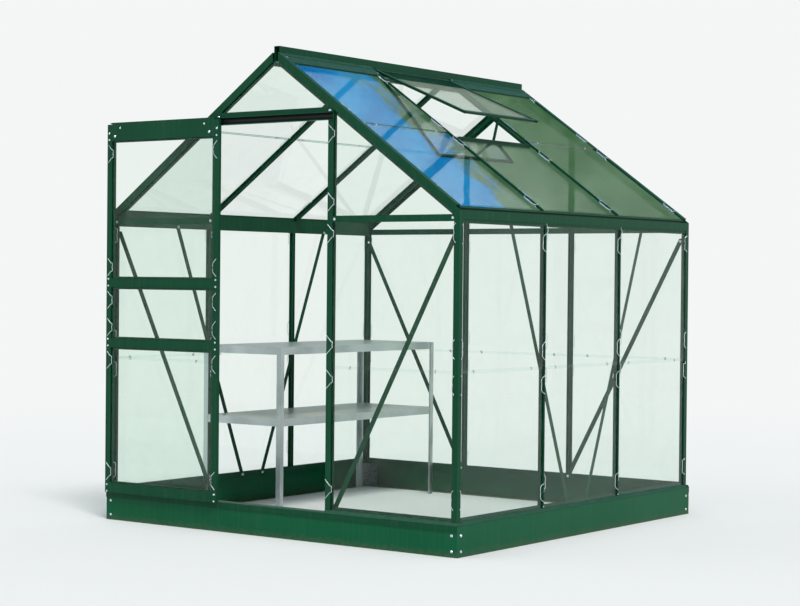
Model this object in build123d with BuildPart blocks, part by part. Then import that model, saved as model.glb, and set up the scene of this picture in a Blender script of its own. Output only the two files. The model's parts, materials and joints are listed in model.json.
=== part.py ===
"""A small aluminium greenhouse, glazed with overlapping panes, on a folded steel base.

Millimetres. X runs along the door gable, Y towards the back, Z up. The origin is at the
middle of the base, at ground level.
"""

import os
from math import atan2, cos, hypot, radians, sin, tan

from build123d import *

os.makedirs("parts", exist_ok=True)

# Overall sizes
base_size = 1930.0
base_height = 124.0
frame_inset = 10.0
eaves_height = 1387.0
ridge_height = 2064.0
bar_spacing = 625.0

# Folded steel base
base_sheet = 1.5
base_flange = 38.0
bracket_leg = 80.0
bracket_thickness = 3.0

# Glass and the rebates that hold it
glass_thickness = 3.0
glass_setback = 5.0
fit_gap = 0.3
pane_gap = 2.0
pane_lap = 12.0
pane_length = 610.0
seat_thickness = 2.0
seat_width = 8.0

# Glazing bars
frame_depth = 25.0
bar_nib = 8.0
bar_groove = 3.0
bar_groove_depth = 5.0
bar_width = 34.0
bar_channel = 16.0
bar_slot = 7.0
bar_wall = 1.6
post_wall = 2.0

# Cills
cill_sheet = 2.0
cill_upstand = 26.0
cill_nose = 16.0
cill_edge = 3.0
cill_lip = 23.0
cill_lip_thickness = 3.0
cill_rim = 1.5
tread_thickness = 4.0

# Eaves bar with its gutter, whose floor lies under the eaves
eaves_sheet = 2.0
gutter_drop = 47.0
gutter_depth = 37.0
eaves_rebate = 12.0
eaves_web_drop = 15.0
eaves_seat_reach = 14.0
eaves_seat_heel = 4.0

# Rafters and ridge
rafter_face = 32.0
rafter_seat = 14.0
ridge_width = 30.0
ridge_crest = 17.0
ridge_wing = 77.0
ridge_wing_thickness = 3.0
ridge_groove = 3.0
ridge_groove_place = 34.0
ridge_seat = 67.0
ridge_end_setback = 10.0

# Bracing strips
brace_width = 22.0
brace_thickness = 2.0
wall_brace_top = 550.0
wall_brace_foot = 70.0

# Crossbars in the gables
crossbar_height = 28.0
crossbar_drop = 9.0
crossbar_plate = 2.0

# Door opening, its posts, and the track that hangs on the bar over it
jamb_width = 27.5
left_jamb_shift = 33.0
header_clearance = 17.7
header_height = 53.0
track_height = 33.0
track_clearance = 7.0
track_fascia = 5.0
track_sheet = 2.0
track_rail = 15.5
track_rail_lip = 2.0
track_end_gap = 8.0
stay_leg = 12.0
stay_thickness = 3.0
stay_length = 575.0

# Sliding door, which laps both of its posts when it is shut
door_overlap = 28.0
door_open_lap = 42.0
door_foot_gap = 3.0
door_head = 24.0
door_top_lip = 8.0
door_gap = 27.0
door_depth = 12.0
door_plate = 2.0
door_wall = 1.6
stile_box = 28.0
stile_seat = 14.0
top_rail = 74.0
bottom_rail = 44.0
middle_rail_heights = (653.0, 923.0)
middle_rail = 41.0
rail_seat = 8.0
wheel_radius = 9.0
wheel_width = 8.0
wheel_inset = 81.0
wheel_edge = 1.0
axle_radius = 3.0

# Roof vent, whose rounded head turns in a channel on the ridge
vent_opening = 12.4
vent_hinge_depth = 4.9
vent_length = 550.0
vent_side_gap = 12.5
hinge_bead = 2.5
hinge_wall = 1.6
hinge_play = 25.0
vent_head_gap = 5.0
vent_depth = 12.0
vent_face = 20.0
vent_edge = 7.0
vent_wall = 2.0
vent_rebate = 8.0
trimmer_gap = 22.3
trimmer_seat = 22.0
trimmer_rise = 6.0
trimmer_sheet = 2.0
vent_stay_width = 12.0
vent_stay_thickness = 3.0

# Staging along the left wall
staging_width = 475.0
staging_length = 1220.0
staging_rear_gap = 66.0
shelf_sheet = 1.5
shelf_lip = 35.0
upper_shelf_top = 778.0
lower_shelf_top = 446.0
leg_width = 25.0
leg_sheet = 2.0

# Sizes that follow from those above
base_half = base_size / 2
frame_half = base_half - frame_inset
roof_rise = ridge_height - eaves_height
pitch = atan2(roof_rise, frame_half)
slope_length = hypot(roof_rise, frame_half)
bar_place = bar_spacing / 2
seat_front = glass_setback + glass_thickness + fit_gap
seat_back = seat_front + seat_thickness
flange_front = frame_depth + brace_thickness
flange_back = flange_front + cill_sheet
cill_top = base_height + cill_sheet
post_edge = frame_half - frame_depth
jamb_inner = bar_place + bar_nib / 2 - jamb_width
jamb_outer = bar_place + bar_nib / 2
left_jamb_inner = jamb_inner + left_jamb_shift
left_jamb_outer = jamb_outer + left_jamb_shift
bay_edge = post_edge - fit_gap
gutter_floor = eaves_height - gutter_drop
crossbar_level = gutter_floor - crossbar_drop
ridge_top = ridge_height + ridge_crest
ridge_half = ridge_width / 2

# The outer faces of the frame: x along the face, y up it, z outwards
front_face = Plane(origin=(0, -frame_half, 0), x_dir=(1, 0, 0), z_dir=(0, -1, 0))
rear_face = Plane(origin=(0, frame_half, 0), x_dir=(-1, 0, 0), z_dir=(0, 1, 0))
right_face = Plane(origin=(frame_half, 0, 0), x_dir=(0, 1, 0), z_dir=(1, 0, 0))
left_face = Plane(origin=(-frame_half, 0, 0), x_dir=(0, -1, 0), z_dir=(-1, 0, 0))
right_slope = Plane(
    origin=(frame_half, 0, eaves_height), x_dir=(0, 1, 0), z_dir=(sin(pitch), 0, cos(pitch))
)
left_slope = Plane(
    origin=(-frame_half, 0, eaves_height), x_dir=(0, -1, 0), z_dir=(-sin(pitch), 0, cos(pitch))
)


def outline(*points):
    """A flat shape with straight edges through the points."""
    with BuildSketch() as shape:
        with BuildLine():
            Polyline(*points, close=True)
        make_face()
    return shape.sketch


def upright(face, along, start):
    """The cross-section plane of a bar that runs up a face: x along it, y inwards."""
    origin = face.from_local_coords(Vector(along, start, 0))
    return Plane(origin=origin, x_dir=face.x_dir, z_dir=face.y_dir)


def level(face, end):
    """The cross-section plane of a rail that runs along a face: x outwards, y up it."""
    origin = face.from_local_coords(Vector(end, 0, 0))
    return Plane(origin=origin, x_dir=face.z_dir, z_dir=-face.x_dir)


def raise_bar(shape, face, along, start, end):
    """Extrude a cross-section up a face, from one height to another."""
    with BuildSketch(upright(face, along, start)) as section:
        add(shape)
    extrude(section.sketch, amount=end - start)


def lay_rail(shape, face, start, end):
    """Extrude a cross-section along a face, between two places."""
    with BuildSketch(level(face, end)) as section:
        add(shape)
    extrude(section.sketch, amount=end - start)


def roof_point(distance, depth):
    """X and Z on the right slope, up from the eaves and in from the roof's surface."""
    x = frame_half - distance * cos(pitch) - depth * sin(pitch)
    z = eaves_height + distance * sin(pitch) - depth * cos(pitch)
    return (x, z)


def roof_height(x, depth):
    """The height of a plane under the roof's surface, above a place in the gable."""
    return ridge_height - abs(x) * tan(pitch) - depth / cos(pitch)


header_level = (
    roof_height(jamb_inner, rafter_face + rafter_seat) - header_clearance - crossbar_height
)


def roof_cut(depth):
    """The gable's outline above a plane that lies under the roof's surface."""
    far = base_size
    above = ridge_height + base_height
    return outline(
        (-far, roof_height(far, depth)),
        (0, roof_height(0, depth)),
        (far, roof_height(far, depth)),
        (far, above),
        (-far, above),
    )


def trim_to_roof(depth):
    """Cut the part being built along a plane under both slopes."""
    with BuildSketch(Plane.XZ) as above:
        add(roof_cut(depth))
    extrude(above.sketch, amount=base_size, both=True, mode=Mode.SUBTRACT)


def clear_rafter_seat(face):
    """Cut away, in the seats' layer alone, what reaches the rafters' seat for the gable's panes."""
    with BuildSketch(face.offset(-seat_back)) as layer:
        add(roof_cut(rafter_face + rafter_seat))
    extrude(layer.sketch, amount=seat_thickness, mode=Mode.SUBTRACT)


def lapped_plane(face, top, length):
    """The inner face of a pane whose head is on its seat and whose foot laps another."""
    lean = atan2(glass_thickness + fit_gap, length)
    origin = face.from_local_coords(Vector(0, top, -(glass_setback + glass_thickness)))
    normal = face.z_dir * cos(lean) + face.y_dir * sin(lean)
    return Plane(origin=origin, x_dir=face.x_dir, z_dir=normal)


def finish(piece, name):
    """Name a finished piece and write it."""
    piece.part.label = name
    export_step(piece.part, f"parts/{name}.step")


# Folded steel base, one C-shaped rail a side, mitred at the corners
base_corner = base_half + frame_inset
sides = {
    "front": ((0, 0), (-base_corner, -base_corner), (base_corner, -base_corner)),
    "rear": ((0, 0), (base_corner, base_corner), (-base_corner, base_corner)),
    "left": ((0, 0), (-base_corner, base_corner), (-base_corner, -base_corner)),
    "right": ((0, 0), (base_corner, -base_corner), (base_corner, base_corner)),
}
for side, sector in sides.items():
    with BuildPart() as base_rail:
        with BuildSketch():
            Rectangle(base_size, base_size)
            Rectangle(base_size - 2 * base_sheet, base_size - 2 * base_sheet, mode=Mode.SUBTRACT)
        extrude(amount=base_height)
        with BuildSketch(Plane.XY, Plane.XY.offset(base_height - base_sheet)):
            Rectangle(base_size, base_size)
            Rectangle(base_size - 2 * base_flange, base_size - 2 * base_flange, mode=Mode.SUBTRACT)
        extrude(amount=base_sheet)
        with BuildSketch():
            add(outline(*sector))
        extrude(amount=base_height, mode=Mode.INTERSECT)
    finish(base_rail, f"base_{side}")

# Angle brackets inside the base's corners
bracket_outer = base_half - base_sheet
bracket_height = base_height - 2 * base_sheet - 2 * fit_gap
with BuildPart() as base_brackets:
    with BuildSketch(Plane.XY.offset(base_sheet + fit_gap)):
        Rectangle(2 * bracket_outer, 2 * bracket_outer)
        bracket_inner = bracket_outer - bracket_thickness
        Rectangle(2 * bracket_inner, 2 * bracket_inner, mode=Mode.SUBTRACT)
        Rectangle(base_size, 2 * (bracket_outer - bracket_leg), mode=Mode.SUBTRACT)
        Rectangle(2 * (bracket_outer - bracket_leg), base_size, mode=Mode.SUBTRACT)
    extrude(amount=bracket_height)
finish(base_brackets, "base_corner_brackets")


def cill_section(nose, drop):
    """A cill's cross-section: outwards from the frame's face, up from the base."""
    slot_wall = -(glass_setback - fit_gap)
    rim = slot_wall + cill_rim
    fall = atan2(cill_nose - cill_edge, nose - rim)
    chamber_top = cill_nose - cill_rim / cos(fall)
    chamber_reach = (chamber_top - cill_sheet) / tan(fall)
    lip = () if drop == 0 else ((nose - cill_lip_thickness, 0), (nose - cill_lip_thickness, -drop))
    solid = outline(
        (-flange_back, 0),
        *lip,
        (nose, -drop),
        (nose, cill_edge),
        (rim, cill_nose),
        (slot_wall, cill_nose),
        (slot_wall, cill_sheet),
        (-seat_front, cill_sheet),
        (-seat_front, cill_upstand),
        (-seat_back, cill_upstand),
        (-seat_back, cill_sheet),
        (-flange_front, cill_sheet),
        (-flange_front, cill_upstand),
        (-flange_back, cill_upstand),
    )
    chamber = outline((rim, cill_sheet), (rim + chamber_reach, cill_sheet), (rim, chamber_top))
    return solid - chamber


def lay_cill(face, section, end, inner_end):
    """A cill along one face, notched at both ends for the corner posts."""
    raised = face.offset(0)
    raised.origin = face.origin + Vector(0, 0, base_height)
    lay_rail(section, raised, -end, end)
    notch = end - (inner_end - fit_gap)
    with BuildSketch(Plane(origin=raised.origin, x_dir=face.x_dir, z_dir=(0, 0, 1))) as notches:
        for way in (-1, 1):
            with Locations((way * (end - notch / 2), flange_back / 2)):
                Rectangle(notch, flange_back + 2 * fit_gap)
    extrude(notches.sketch, amount=cill_upstand, mode=Mode.SUBTRACT)


gable_nose = frame_inset + fit_gap + cill_lip_thickness
gable_section = cill_section(gable_nose, cill_lip)
side_section = cill_section(frame_inset - fit_gap, 0)

with BuildPart() as rear_cill:
    lay_cill(rear_face, gable_section, base_half, post_edge)
finish(rear_cill, "rear_cill")

doorway_width = left_jamb_inner + jamb_inner
doorway_middle = (jamb_inner - left_jamb_inner) / 2
with BuildPart() as front_cill:
    lay_cill(front_face, gable_section, base_half, post_edge)
    with BuildSketch(Plane.XY.offset(cill_top)):
        with Locations((doorway_middle, -frame_half)):
            Rectangle(doorway_width, 4 * flange_back)
        with Locations((doorway_middle, flange_back - fit_gap - frame_half)):
            Rectangle(doorway_width + 2 * (jamb_width + fit_gap), 2 * flange_back)
    extrude(amount=cill_upstand, mode=Mode.SUBTRACT)
finish(front_cill, "front_cill")

# Tread in the doorway, over the cill's floor
with BuildPart() as door_threshold:
    tread = outline(
        (-flange_back, cill_top),
        (gable_nose, cill_top),
        (gable_nose, cill_top + cill_edge - cill_sheet),
        (gable_nose - tread_thickness, cill_top + tread_thickness),
        (-flange_back, cill_top + tread_thickness),
    )
    lay_rail(tread, front_face, fit_gap - left_jamb_inner, jamb_inner - fit_gap)
finish(door_threshold, "door_threshold")

for name, face in {"left_cill": left_face, "right_cill": right_face}.items():
    with BuildPart() as side_cill:
        lay_cill(face, side_section, frame_half, frame_half - flange_back)
    finish(side_cill, name)

# Glazing bar: a grooved nib between the panes, a seat behind them and a bolt channel
half_nib = bar_nib / 2
half_groove = bar_groove / 2
nib_shape = outline(
    (-half_nib, 0),
    (-half_groove, 0),
    (-half_groove, bar_groove_depth),
    (half_groove, bar_groove_depth),
    (half_groove, 0),
    (half_nib, 0),
    (half_nib, seat_front),
    (-half_nib, seat_front),
)
seat_shape = outline(
    (-bar_width / 2, seat_front),
    (bar_width / 2, seat_front),
    (bar_width / 2, seat_back),
    (-bar_width / 2, seat_back),
)
half_channel = bar_channel / 2
channel_shape = outline(
    (-half_channel, seat_back),
    (half_channel, seat_back),
    (half_channel, frame_depth),
    (bar_slot / 2, frame_depth),
    (bar_slot / 2, frame_depth - bar_wall),
    (half_channel - bar_wall, frame_depth - bar_wall),
    (half_channel - bar_wall, seat_back + bar_wall),
    (bar_wall - half_channel, seat_back + bar_wall),
    (bar_wall - half_channel, frame_depth - bar_wall),
    (-bar_slot / 2, frame_depth - bar_wall),
    (-bar_slot / 2, frame_depth),
    (-half_channel, frame_depth),
)
seat_foot = base_height + cill_upstand
nib_foot = base_height + cill_nose
eaves_rebate_foot = gutter_floor - eaves_rebate


def wall_bars(face):
    """Two glazing bars between a side cill and the eaves bar."""
    for along in (-bar_place, bar_place):
        raise_bar(channel_shape, face, along, cill_top, gutter_floor)
        raise_bar(seat_shape, face, along, seat_foot, eaves_rebate_foot)
        raise_bar(nib_shape, face, along, nib_foot, eaves_rebate_foot)


for name, face in {"left_wall_bars": left_face, "right_wall_bars": right_face}.items():
    with BuildPart() as side_bars:
        wall_bars(face)
    finish(side_bars, name)

# Rear gable's glazing bars, cut to the rafters' slope and their seats a little lower
with BuildPart() as gable_bar_cores:
    for along in (-bar_place, bar_place):
        raise_bar(channel_shape, rear_face, along, cill_top, ridge_height)
        raise_bar(nib_shape, rear_face, along, nib_foot, ridge_height)
    trim_to_roof(rafter_face)

with BuildPart() as rear_gable_bars:
    for along in (-bar_place, bar_place):
        raise_bar(seat_shape, rear_face, along, seat_foot, ridge_height)
    trim_to_roof(rafter_face + rafter_seat)
    add(gable_bar_cores.part)
finish(rear_gable_bars, "rear_gable_bars")

# Hollow posts beside the doorway, each with a seat for the panes next to it
jamb_edges = ((1, jamb_inner, jamb_outer), (-1, left_jamb_inner, left_jamb_outer))


def raise_jambs(wall):
    """Both door posts up to the rafters, or, with a wall, their bores."""
    for way, inner, outer in jamb_edges:
        with BuildSketch(upright(front_face, way * (inner + outer) / 2, cill_top)) as section:
            with Locations((0, frame_depth / 2)):
                Rectangle(jamb_width - 2 * wall, frame_depth - 2 * wall)
        extrude(section.sketch, amount=ridge_height - cill_top)


with BuildPart() as jambs:
    raise_jambs(0)
    trim_to_roof(rafter_face)

with BuildPart() as jamb_bores:
    raise_jambs(post_wall)

with BuildPart() as door_posts:
    for way, inner, outer in jamb_edges:
        jamb_seat = outline(
            (way * (outer - post_wall), seat_front),
            (way * (outer + seat_width), seat_front),
            (way * (outer + seat_width), seat_back),
            (way * (outer - post_wall), seat_back),
        )
        raise_bar(jamb_seat, front_face, 0, seat_foot, ridge_height)
    trim_to_roof(rafter_face + rafter_seat)
    add(jambs.part)
    add(jamb_bores.part, mode=Mode.SUBTRACT)
    clear_rafter_seat(front_face)
finish(door_posts, "door_posts")

# Hollow corner posts with a seat for each wall's panes
post_middle = frame_half - frame_depth / 2
post_bore = frame_depth - 2 * post_wall
seat_middle = frame_half - (seat_front + seat_back) / 2
seat_edge = post_edge - seat_width / 2
for name, depth_sign in {"front_corner_posts": -1, "rear_corner_posts": 1}.items():
    post_places = [(way * post_middle, depth_sign * post_middle) for way in (-1, 1)]
    with BuildPart() as corner_posts:
        with BuildSketch(Plane.XY.offset(base_height)):
            with Locations(*post_places):
                Rectangle(frame_depth, frame_depth)
        extrude(amount=gutter_floor - base_height)
        with BuildSketch(Plane.XY.offset(seat_foot)):
            for way in (-1, 1):
                with Locations((way * seat_middle, depth_sign * seat_edge)):
                    Rectangle(seat_thickness, seat_width)
                with Locations((way * seat_edge, depth_sign * seat_middle)):
                    Rectangle(seat_width, seat_thickness)
        extrude(amount=eaves_rebate_foot - seat_foot)
        with BuildSketch(Plane.XY.offset(base_height)):
            with Locations(*post_places):
                Rectangle(post_bore, post_bore)
        extrude(amount=gutter_floor - base_height, mode=Mode.SUBTRACT)
    finish(corner_posts, name)


def roof_line(outwards, depth):
    """Height of a plane under the right slope, out from the wall's outer face."""
    return roof_height(frame_half + outwards, depth)


# Eaves bar and gutter in one section
seat_start = -(flange_back + eaves_seat_heel)
seat_end = -eaves_seat_reach
rebate_lip = -(glass_setback - fit_gap)
eaves_shape = outline(
    (-flange_back, gutter_floor - eaves_web_drop),
    (-flange_front, gutter_floor - eaves_web_drop),
    (-flange_front, gutter_floor),
    (-seat_back, gutter_floor),
    (-seat_back, eaves_rebate_foot),
    (-seat_front, eaves_rebate_foot),
    (-seat_front, gutter_floor),
    (rebate_lip, gutter_floor),
    (rebate_lip, eaves_rebate_foot),
    (rebate_lip + eaves_sheet, eaves_rebate_foot),
    (rebate_lip + eaves_sheet, gutter_floor),
    (0, gutter_floor),
    (0, gutter_floor + gutter_depth),
    (-eaves_sheet, gutter_floor + gutter_depth),
    (-eaves_sheet, gutter_floor + eaves_sheet),
    (-flange_front, gutter_floor + eaves_sheet),
    (-flange_front, roof_line(-flange_front, seat_back)),
    (seat_end, roof_line(seat_end, seat_back)),
    (seat_end, roof_line(seat_end, seat_front)),
    (seat_start, roof_line(seat_start, seat_front)),
    (seat_start, roof_line(seat_start, seat_back)),
    (-flange_back, roof_line(-flange_back, seat_back)),
)
end_plate = outline(
    (-frame_depth, gutter_floor),
    (0, gutter_floor),
    (0, gutter_floor + gutter_depth),
    (seat_end, roof_line(seat_end, seat_front)),
    (-frame_depth, roof_line(-frame_depth, seat_front)),
)
corner_start = post_edge - 2 * frame_depth
corner_end = post_edge + 2 * frame_depth


def cut_corners(start, end, bottom, top):
    """Cut the eaves bar back at both corner posts, between two widths and two heights."""
    with BuildSketch(Plane.XY.offset(bottom)) as corners:
        for way in (-1, 1):
            with Locations(((start + end) / 2, way * (bay_edge + frame_depth))):
                Rectangle(end - start, 2 * frame_depth)
    extrude(corners.sketch, amount=top - bottom, mode=Mode.SUBTRACT)


with BuildPart() as right_gutter:
    lay_rail(eaves_shape, right_face, -frame_half, frame_half)
    cut_corners(corner_start, corner_end, crossbar_level - eaves_web_drop, gutter_floor)
    cut_corners(corner_start, post_edge, gutter_floor, ridge_height)
    cut_corners(post_edge, corner_end, gutter_floor + gutter_depth, ridge_height)
    lay_rail(end_plate, right_face, -frame_half, eaves_sheet - frame_half)
    lay_rail(end_plate, right_face, frame_half - eaves_sheet, frame_half)
finish(right_gutter, "right_gutter")

with BuildPart() as left_gutter:
    mirror(right_gutter.part, about=Plane.YZ)
finish(left_gutter, "left_gutter")

# Rafters on the gables: a hollow section with a seat for each sheet of glass
rafter_box = outline((0, 0), (frame_depth, 0), (frame_depth, rafter_face), (0, rafter_face))
rafter_bore = outline(
    (post_wall, post_wall),
    (frame_depth - post_wall, post_wall),
    (frame_depth - post_wall, rafter_face - post_wall),
    (post_wall, rafter_face - post_wall),
)
rafter_roof_seat = outline(
    (frame_depth - post_wall, seat_front),
    (frame_depth + seat_width, seat_front),
    (frame_depth + seat_width, seat_back),
    (frame_depth - post_wall, seat_back),
)
rafter_gable_seat = outline(
    (seat_front, rafter_face - post_wall),
    (seat_back, rafter_face - post_wall),
    (seat_back, rafter_face + rafter_seat),
    (seat_front, rafter_face + rafter_seat),
)
rafter_nib = outline(
    (0, 0), (frame_depth, 0), (frame_depth, seat_front), (0, seat_front)
)
nib_start = eaves_seat_reach / cos(pitch)


def keep_between(inner, outer):
    """Keep what lies between two upright planes across the right half of the gable."""
    with BuildSketch(Plane.XY) as strip:
        with Locations(((inner + outer) / 2, 0)):
            Rectangle(outer - inner, 2 * base_size)
    extrude(strip.sketch, amount=2 * ridge_height, mode=Mode.INTERSECT)


ridge_seat_start = slope_length - ridge_seat / cos(pitch)
seat_heel = frame_half + seat_start
with BuildPart() as rafter_body:
    raise_bar(rafter_box, right_slope, -frame_half, 0, slope_length)
    raise_bar(rafter_gable_seat, right_slope, -frame_half, 0, slope_length)
    keep_between(ridge_half, post_edge)

with BuildPart() as right_rafter:
    raise_bar(rafter_roof_seat, right_slope, -frame_half, 0, ridge_seat_start)
    keep_between(ridge_half, seat_heel)
    add(rafter_body.part)
    raise_bar(rafter_nib, right_slope, -frame_half, nib_start, 2 * nib_start + flange_back)
    with BuildSketch(upright(right_slope, -frame_half, flange_back)):
        add(rafter_bore)
    extrude(amount=slope_length, mode=Mode.SUBTRACT)

with BuildPart() as front_rafters:
    add(right_rafter.part)
    mirror(right_rafter.part, about=Plane.YZ)
finish(front_rafters, "front_rafters")

with BuildPart() as rear_rafters:
    mirror(front_rafters.part, about=Plane.XZ)
finish(rear_rafters, "rear_rafters")

# Roof bars: seat and channel plumb-cut at both ends, the nib running on over the eaves
wing_start = slope_length - ridge_wing / cos(pitch)
with BuildPart() as right_roof_bars:
    for along in (-bar_place, bar_place):
        raise_bar(channel_shape, right_slope, along, 0, slope_length)
        raise_bar(seat_shape, right_slope, along, 0, ridge_seat_start - fit_gap)
    keep_between(ridge_half, seat_heel)
    for along in (-bar_place, bar_place):
        raise_bar(nib_shape, right_slope, along, nib_start, wing_start)
finish(right_roof_bars, "right_roof_bars")

with BuildPart() as left_roof_bars:
    mirror(right_roof_bars.part, about=Plane.YZ)
finish(left_roof_bars, "left_roof_bars")

# Ridge: a hollow bar with a wing over each slope's panes and a seat under them
ridge_bottom = roof_height(ridge_half, rafter_face)
wing_back = ridge_wing_thickness
roof_foot = nib_start
roof_lower_head = roof_foot + pane_length
roof_upper_foot = roof_lower_head - pane_lap
roof_head = slope_length - (ridge_half + pane_gap + seat_back) / cos(pitch)
pane_rise = (glass_thickness + fit_gap) * (roof_head - wing_start) / (roof_head - roof_upper_foot)
lip_depth = glass_setback - pane_rise - fit_gap
groove_start = slope_length - ridge_groove_place / cos(pitch) - ridge_groove
half_ridge = (
    (ridge_half - bar_wall, ridge_top),
    (ridge_half, ridge_top - bar_wall),
    (ridge_half, roof_height(ridge_half, 0)),
    roof_point(groove_start + ridge_groove, 0),
    roof_point(groove_start + ridge_groove, bar_wall),
    roof_point(groove_start, bar_wall),
    roof_point(groove_start, 0),
    roof_point(wing_start, 0),
    roof_point(wing_start, lip_depth),
    roof_point(wing_start + wing_back, lip_depth),
    roof_point(wing_start + wing_back, wing_back),
    (ridge_half, roof_height(ridge_half, wing_back)),
    (ridge_half, roof_height(ridge_half, seat_front)),
    roof_point(ridge_seat_start, seat_front),
    roof_point(ridge_seat_start, seat_back),
    (ridge_half, roof_height(ridge_half, seat_back)),
    (ridge_half, ridge_bottom),
)
ridge_shape = outline(*half_ridge, *[(-x, z) for x, z in reversed(half_ridge)])
ridge_reach = frame_half - ridge_end_setback

# Hinge of the roof vent, in a channel that stands on the side of the ridge
vent_half = bar_place - vent_side_gap
hinge_bore = hinge_bead + fit_gap
hinge_radius = hinge_bore + hinge_wall
vent_hinge_x = ridge_half + hinge_radius - hinge_wall / 2
vent_hinge_z = roof_height(vent_hinge_x, vent_hinge_depth)
rail_end = vent_half - vent_face - fit_gap


def from_hinge(angle, reach):
    """X and Z at a distance from the vent's hinge, at an angle below the horizontal."""
    return (vent_hinge_x + reach * cos(angle), vent_hinge_z - reach * sin(angle))


mouth = outline(
    (vent_hinge_x, vent_hinge_z),
    from_hinge(pitch + radians(hinge_play), 3 * hinge_radius),
    from_hinge(-radians(hinge_play), 3 * hinge_radius),
)
with BuildPart() as ridge:
    with BuildSketch(Plane.XZ):
        add(ridge_shape)
    extrude(amount=bay_edge, both=True)
    with BuildSketch(Plane.XZ):
        with Locations((0, (ridge_top + ridge_bottom) / 2)):
            Rectangle(ridge_width, ridge_top - ridge_bottom)
    extrude(amount=ridge_reach, both=True)
    with BuildSketch(Plane.XZ):
        with Locations((0, (ridge_top + ridge_bottom) / 2)):
            Rectangle(ridge_width - 2 * post_wall, ridge_top - ridge_bottom - 2 * post_wall)
    extrude(amount=ridge_reach, both=True, mode=Mode.SUBTRACT)
    with BuildSketch(Plane.XY.offset(eaves_height)):
        with Locations((ridge_half + ridge_wing / 2, 0)):
            Rectangle(ridge_wing, 2 * (bar_place - half_nib))
    extrude(amount=ridge_top - eaves_height, mode=Mode.SUBTRACT)
    with BuildSketch(Plane.XZ):
        with Locations((vent_hinge_x, vent_hinge_z)):
            Circle(hinge_radius)
            Circle(hinge_bore, mode=Mode.SUBTRACT)
        add(mouth, mode=Mode.SUBTRACT)
    extrude(amount=rail_end, both=True)
finish(ridge, "ridge")

# Crossbars in the gables: panes stand in their upper groove and under the lower one
crossbar_web = crossbar_level + crossbar_height / 2


def crossbar(face, ends, seat_ends, bottom, height):
    """An H-shaped bar along a gable, its inner flange cut to fit between the seats."""
    top = bottom + height
    middle = top - crossbar_height / 2
    plate_and_web = outline(
        (-crossbar_plate, bottom),
        (0, bottom),
        (0, top),
        (-crossbar_plate, top),
        (-crossbar_plate, middle + crossbar_plate / 2),
        (-seat_front, middle + crossbar_plate / 2),
        (-seat_front, middle - crossbar_plate / 2),
        (-crossbar_plate, middle - crossbar_plate / 2),
    )
    inner_flange = outline(
        (-seat_back, bottom),
        (-seat_front, bottom),
        (-seat_front, top),
        (-seat_back, top),
    )
    lay_rail(plate_and_web, face, *ends)
    lay_rail(inner_flange, face, *seat_ends)


def side_crossbar(face, way, start, seat_start):
    """A crossbar from an upright out to the corner post, on the side that the sign names."""
    ends = sorted((way * (start + fit_gap), way * bay_edge))
    seat_ends = sorted((way * (seat_start + fit_gap), way * (post_edge - seat_width - fit_gap)))
    crossbar(face, ends, seat_ends, crossbar_level, crossbar_height)


with BuildPart() as gable_crossbars:
    for way, inner, outer in jamb_edges:
        side_crossbar(front_face, way, outer, outer + seat_width)
        side_crossbar(rear_face, way, bar_place + half_nib, bar_place + bar_width / 2)
    inner_end = bar_place - half_nib - fit_gap
    inner_seat_end = bar_place - bar_width / 2 - fit_gap
    rear_ends = (-inner_end, inner_end)
    crossbar(rear_face, rear_ends, (-inner_seat_end, inner_seat_end), crossbar_level, crossbar_height)
    header_ends = (fit_gap - left_jamb_inner, jamb_inner - fit_gap)
    crossbar(front_face, header_ends, header_ends, header_level, header_height)
    trim_to_roof(rafter_face + fit_gap)
    clear_rafter_seat(front_face)
    clear_rafter_seat(rear_face)
finish(gable_crossbars, "gable_crossbars")


def strip(top, foot):
    """A flat strip between two places on a face, with level ends."""
    lean = atan2(top[0] - foot[0], top[1] - foot[1])
    reach = brace_width / 2 / cos(lean)
    return outline(
        (top[0] - reach, top[1]),
        (top[0] + reach, top[1]),
        (foot[0] + reach, foot[1]),
        (foot[0] - reach, foot[1]),
    )


brace_foot = cill_top + fit_gap
brace_head = gutter_floor - fit_gap
gable_brace_head = crossbar_level - crossbar_height
gable_brace_edge = frame_half - frame_depth / 2 - brace_width / 2
with BuildPart() as wall_braces:
    for face in (left_face, right_face):
        with BuildSketch(face.offset(-flange_front)):
            for way in (-1, 1):
                add(strip((way * wall_brace_top, brace_head), (way * wall_brace_foot, brace_foot)))
        extrude(amount=brace_thickness)
finish(wall_braces, "wall_braces")

with BuildPart() as gable_braces:
    for face, left_shift in ((front_face, left_jamb_shift), (rear_face, 0)):
        with BuildSketch(face.offset(-flange_front)):
            for way, foot in ((1, bar_place), (-1, bar_place + left_shift)):
                head = (way * gable_brace_edge, gable_brace_head)
                add(strip(head, (way * foot, brace_foot)))
        extrude(amount=brace_thickness)
finish(gable_braces, "gable_braces")

# Panes. In a wall the lower pane stands in the cill and the upper one laps over it.
bay_inner = bar_place - half_nib - pane_gap
bay_start = bar_place + half_nib + pane_gap
bay_end = post_edge - pane_gap
pane_foot = cill_top + pane_gap
pane_head = gutter_floor - pane_gap * 2


def lay_pane(face, start, end, foot, head):
    """A pane that lies flat on its seat."""
    with BuildSketch(face.offset(-(glass_setback + glass_thickness))) as pane:
        with Locations(((start + end) / 2, (foot + head) / 2)):
            Rectangle(end - start, head - foot)
    extrude(pane.sketch, amount=glass_thickness)


def lap_pane(face, start, end, foot, head):
    """A pane whose foot laps over the one below."""
    with BuildSketch(lapped_plane(face, head, head - foot)) as pane:
        with Locations(((start + end) / 2, (foot - head) / 2)):
            Rectangle(end - start, head - foot)
    extrude(pane.sketch, amount=glass_thickness)


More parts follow.
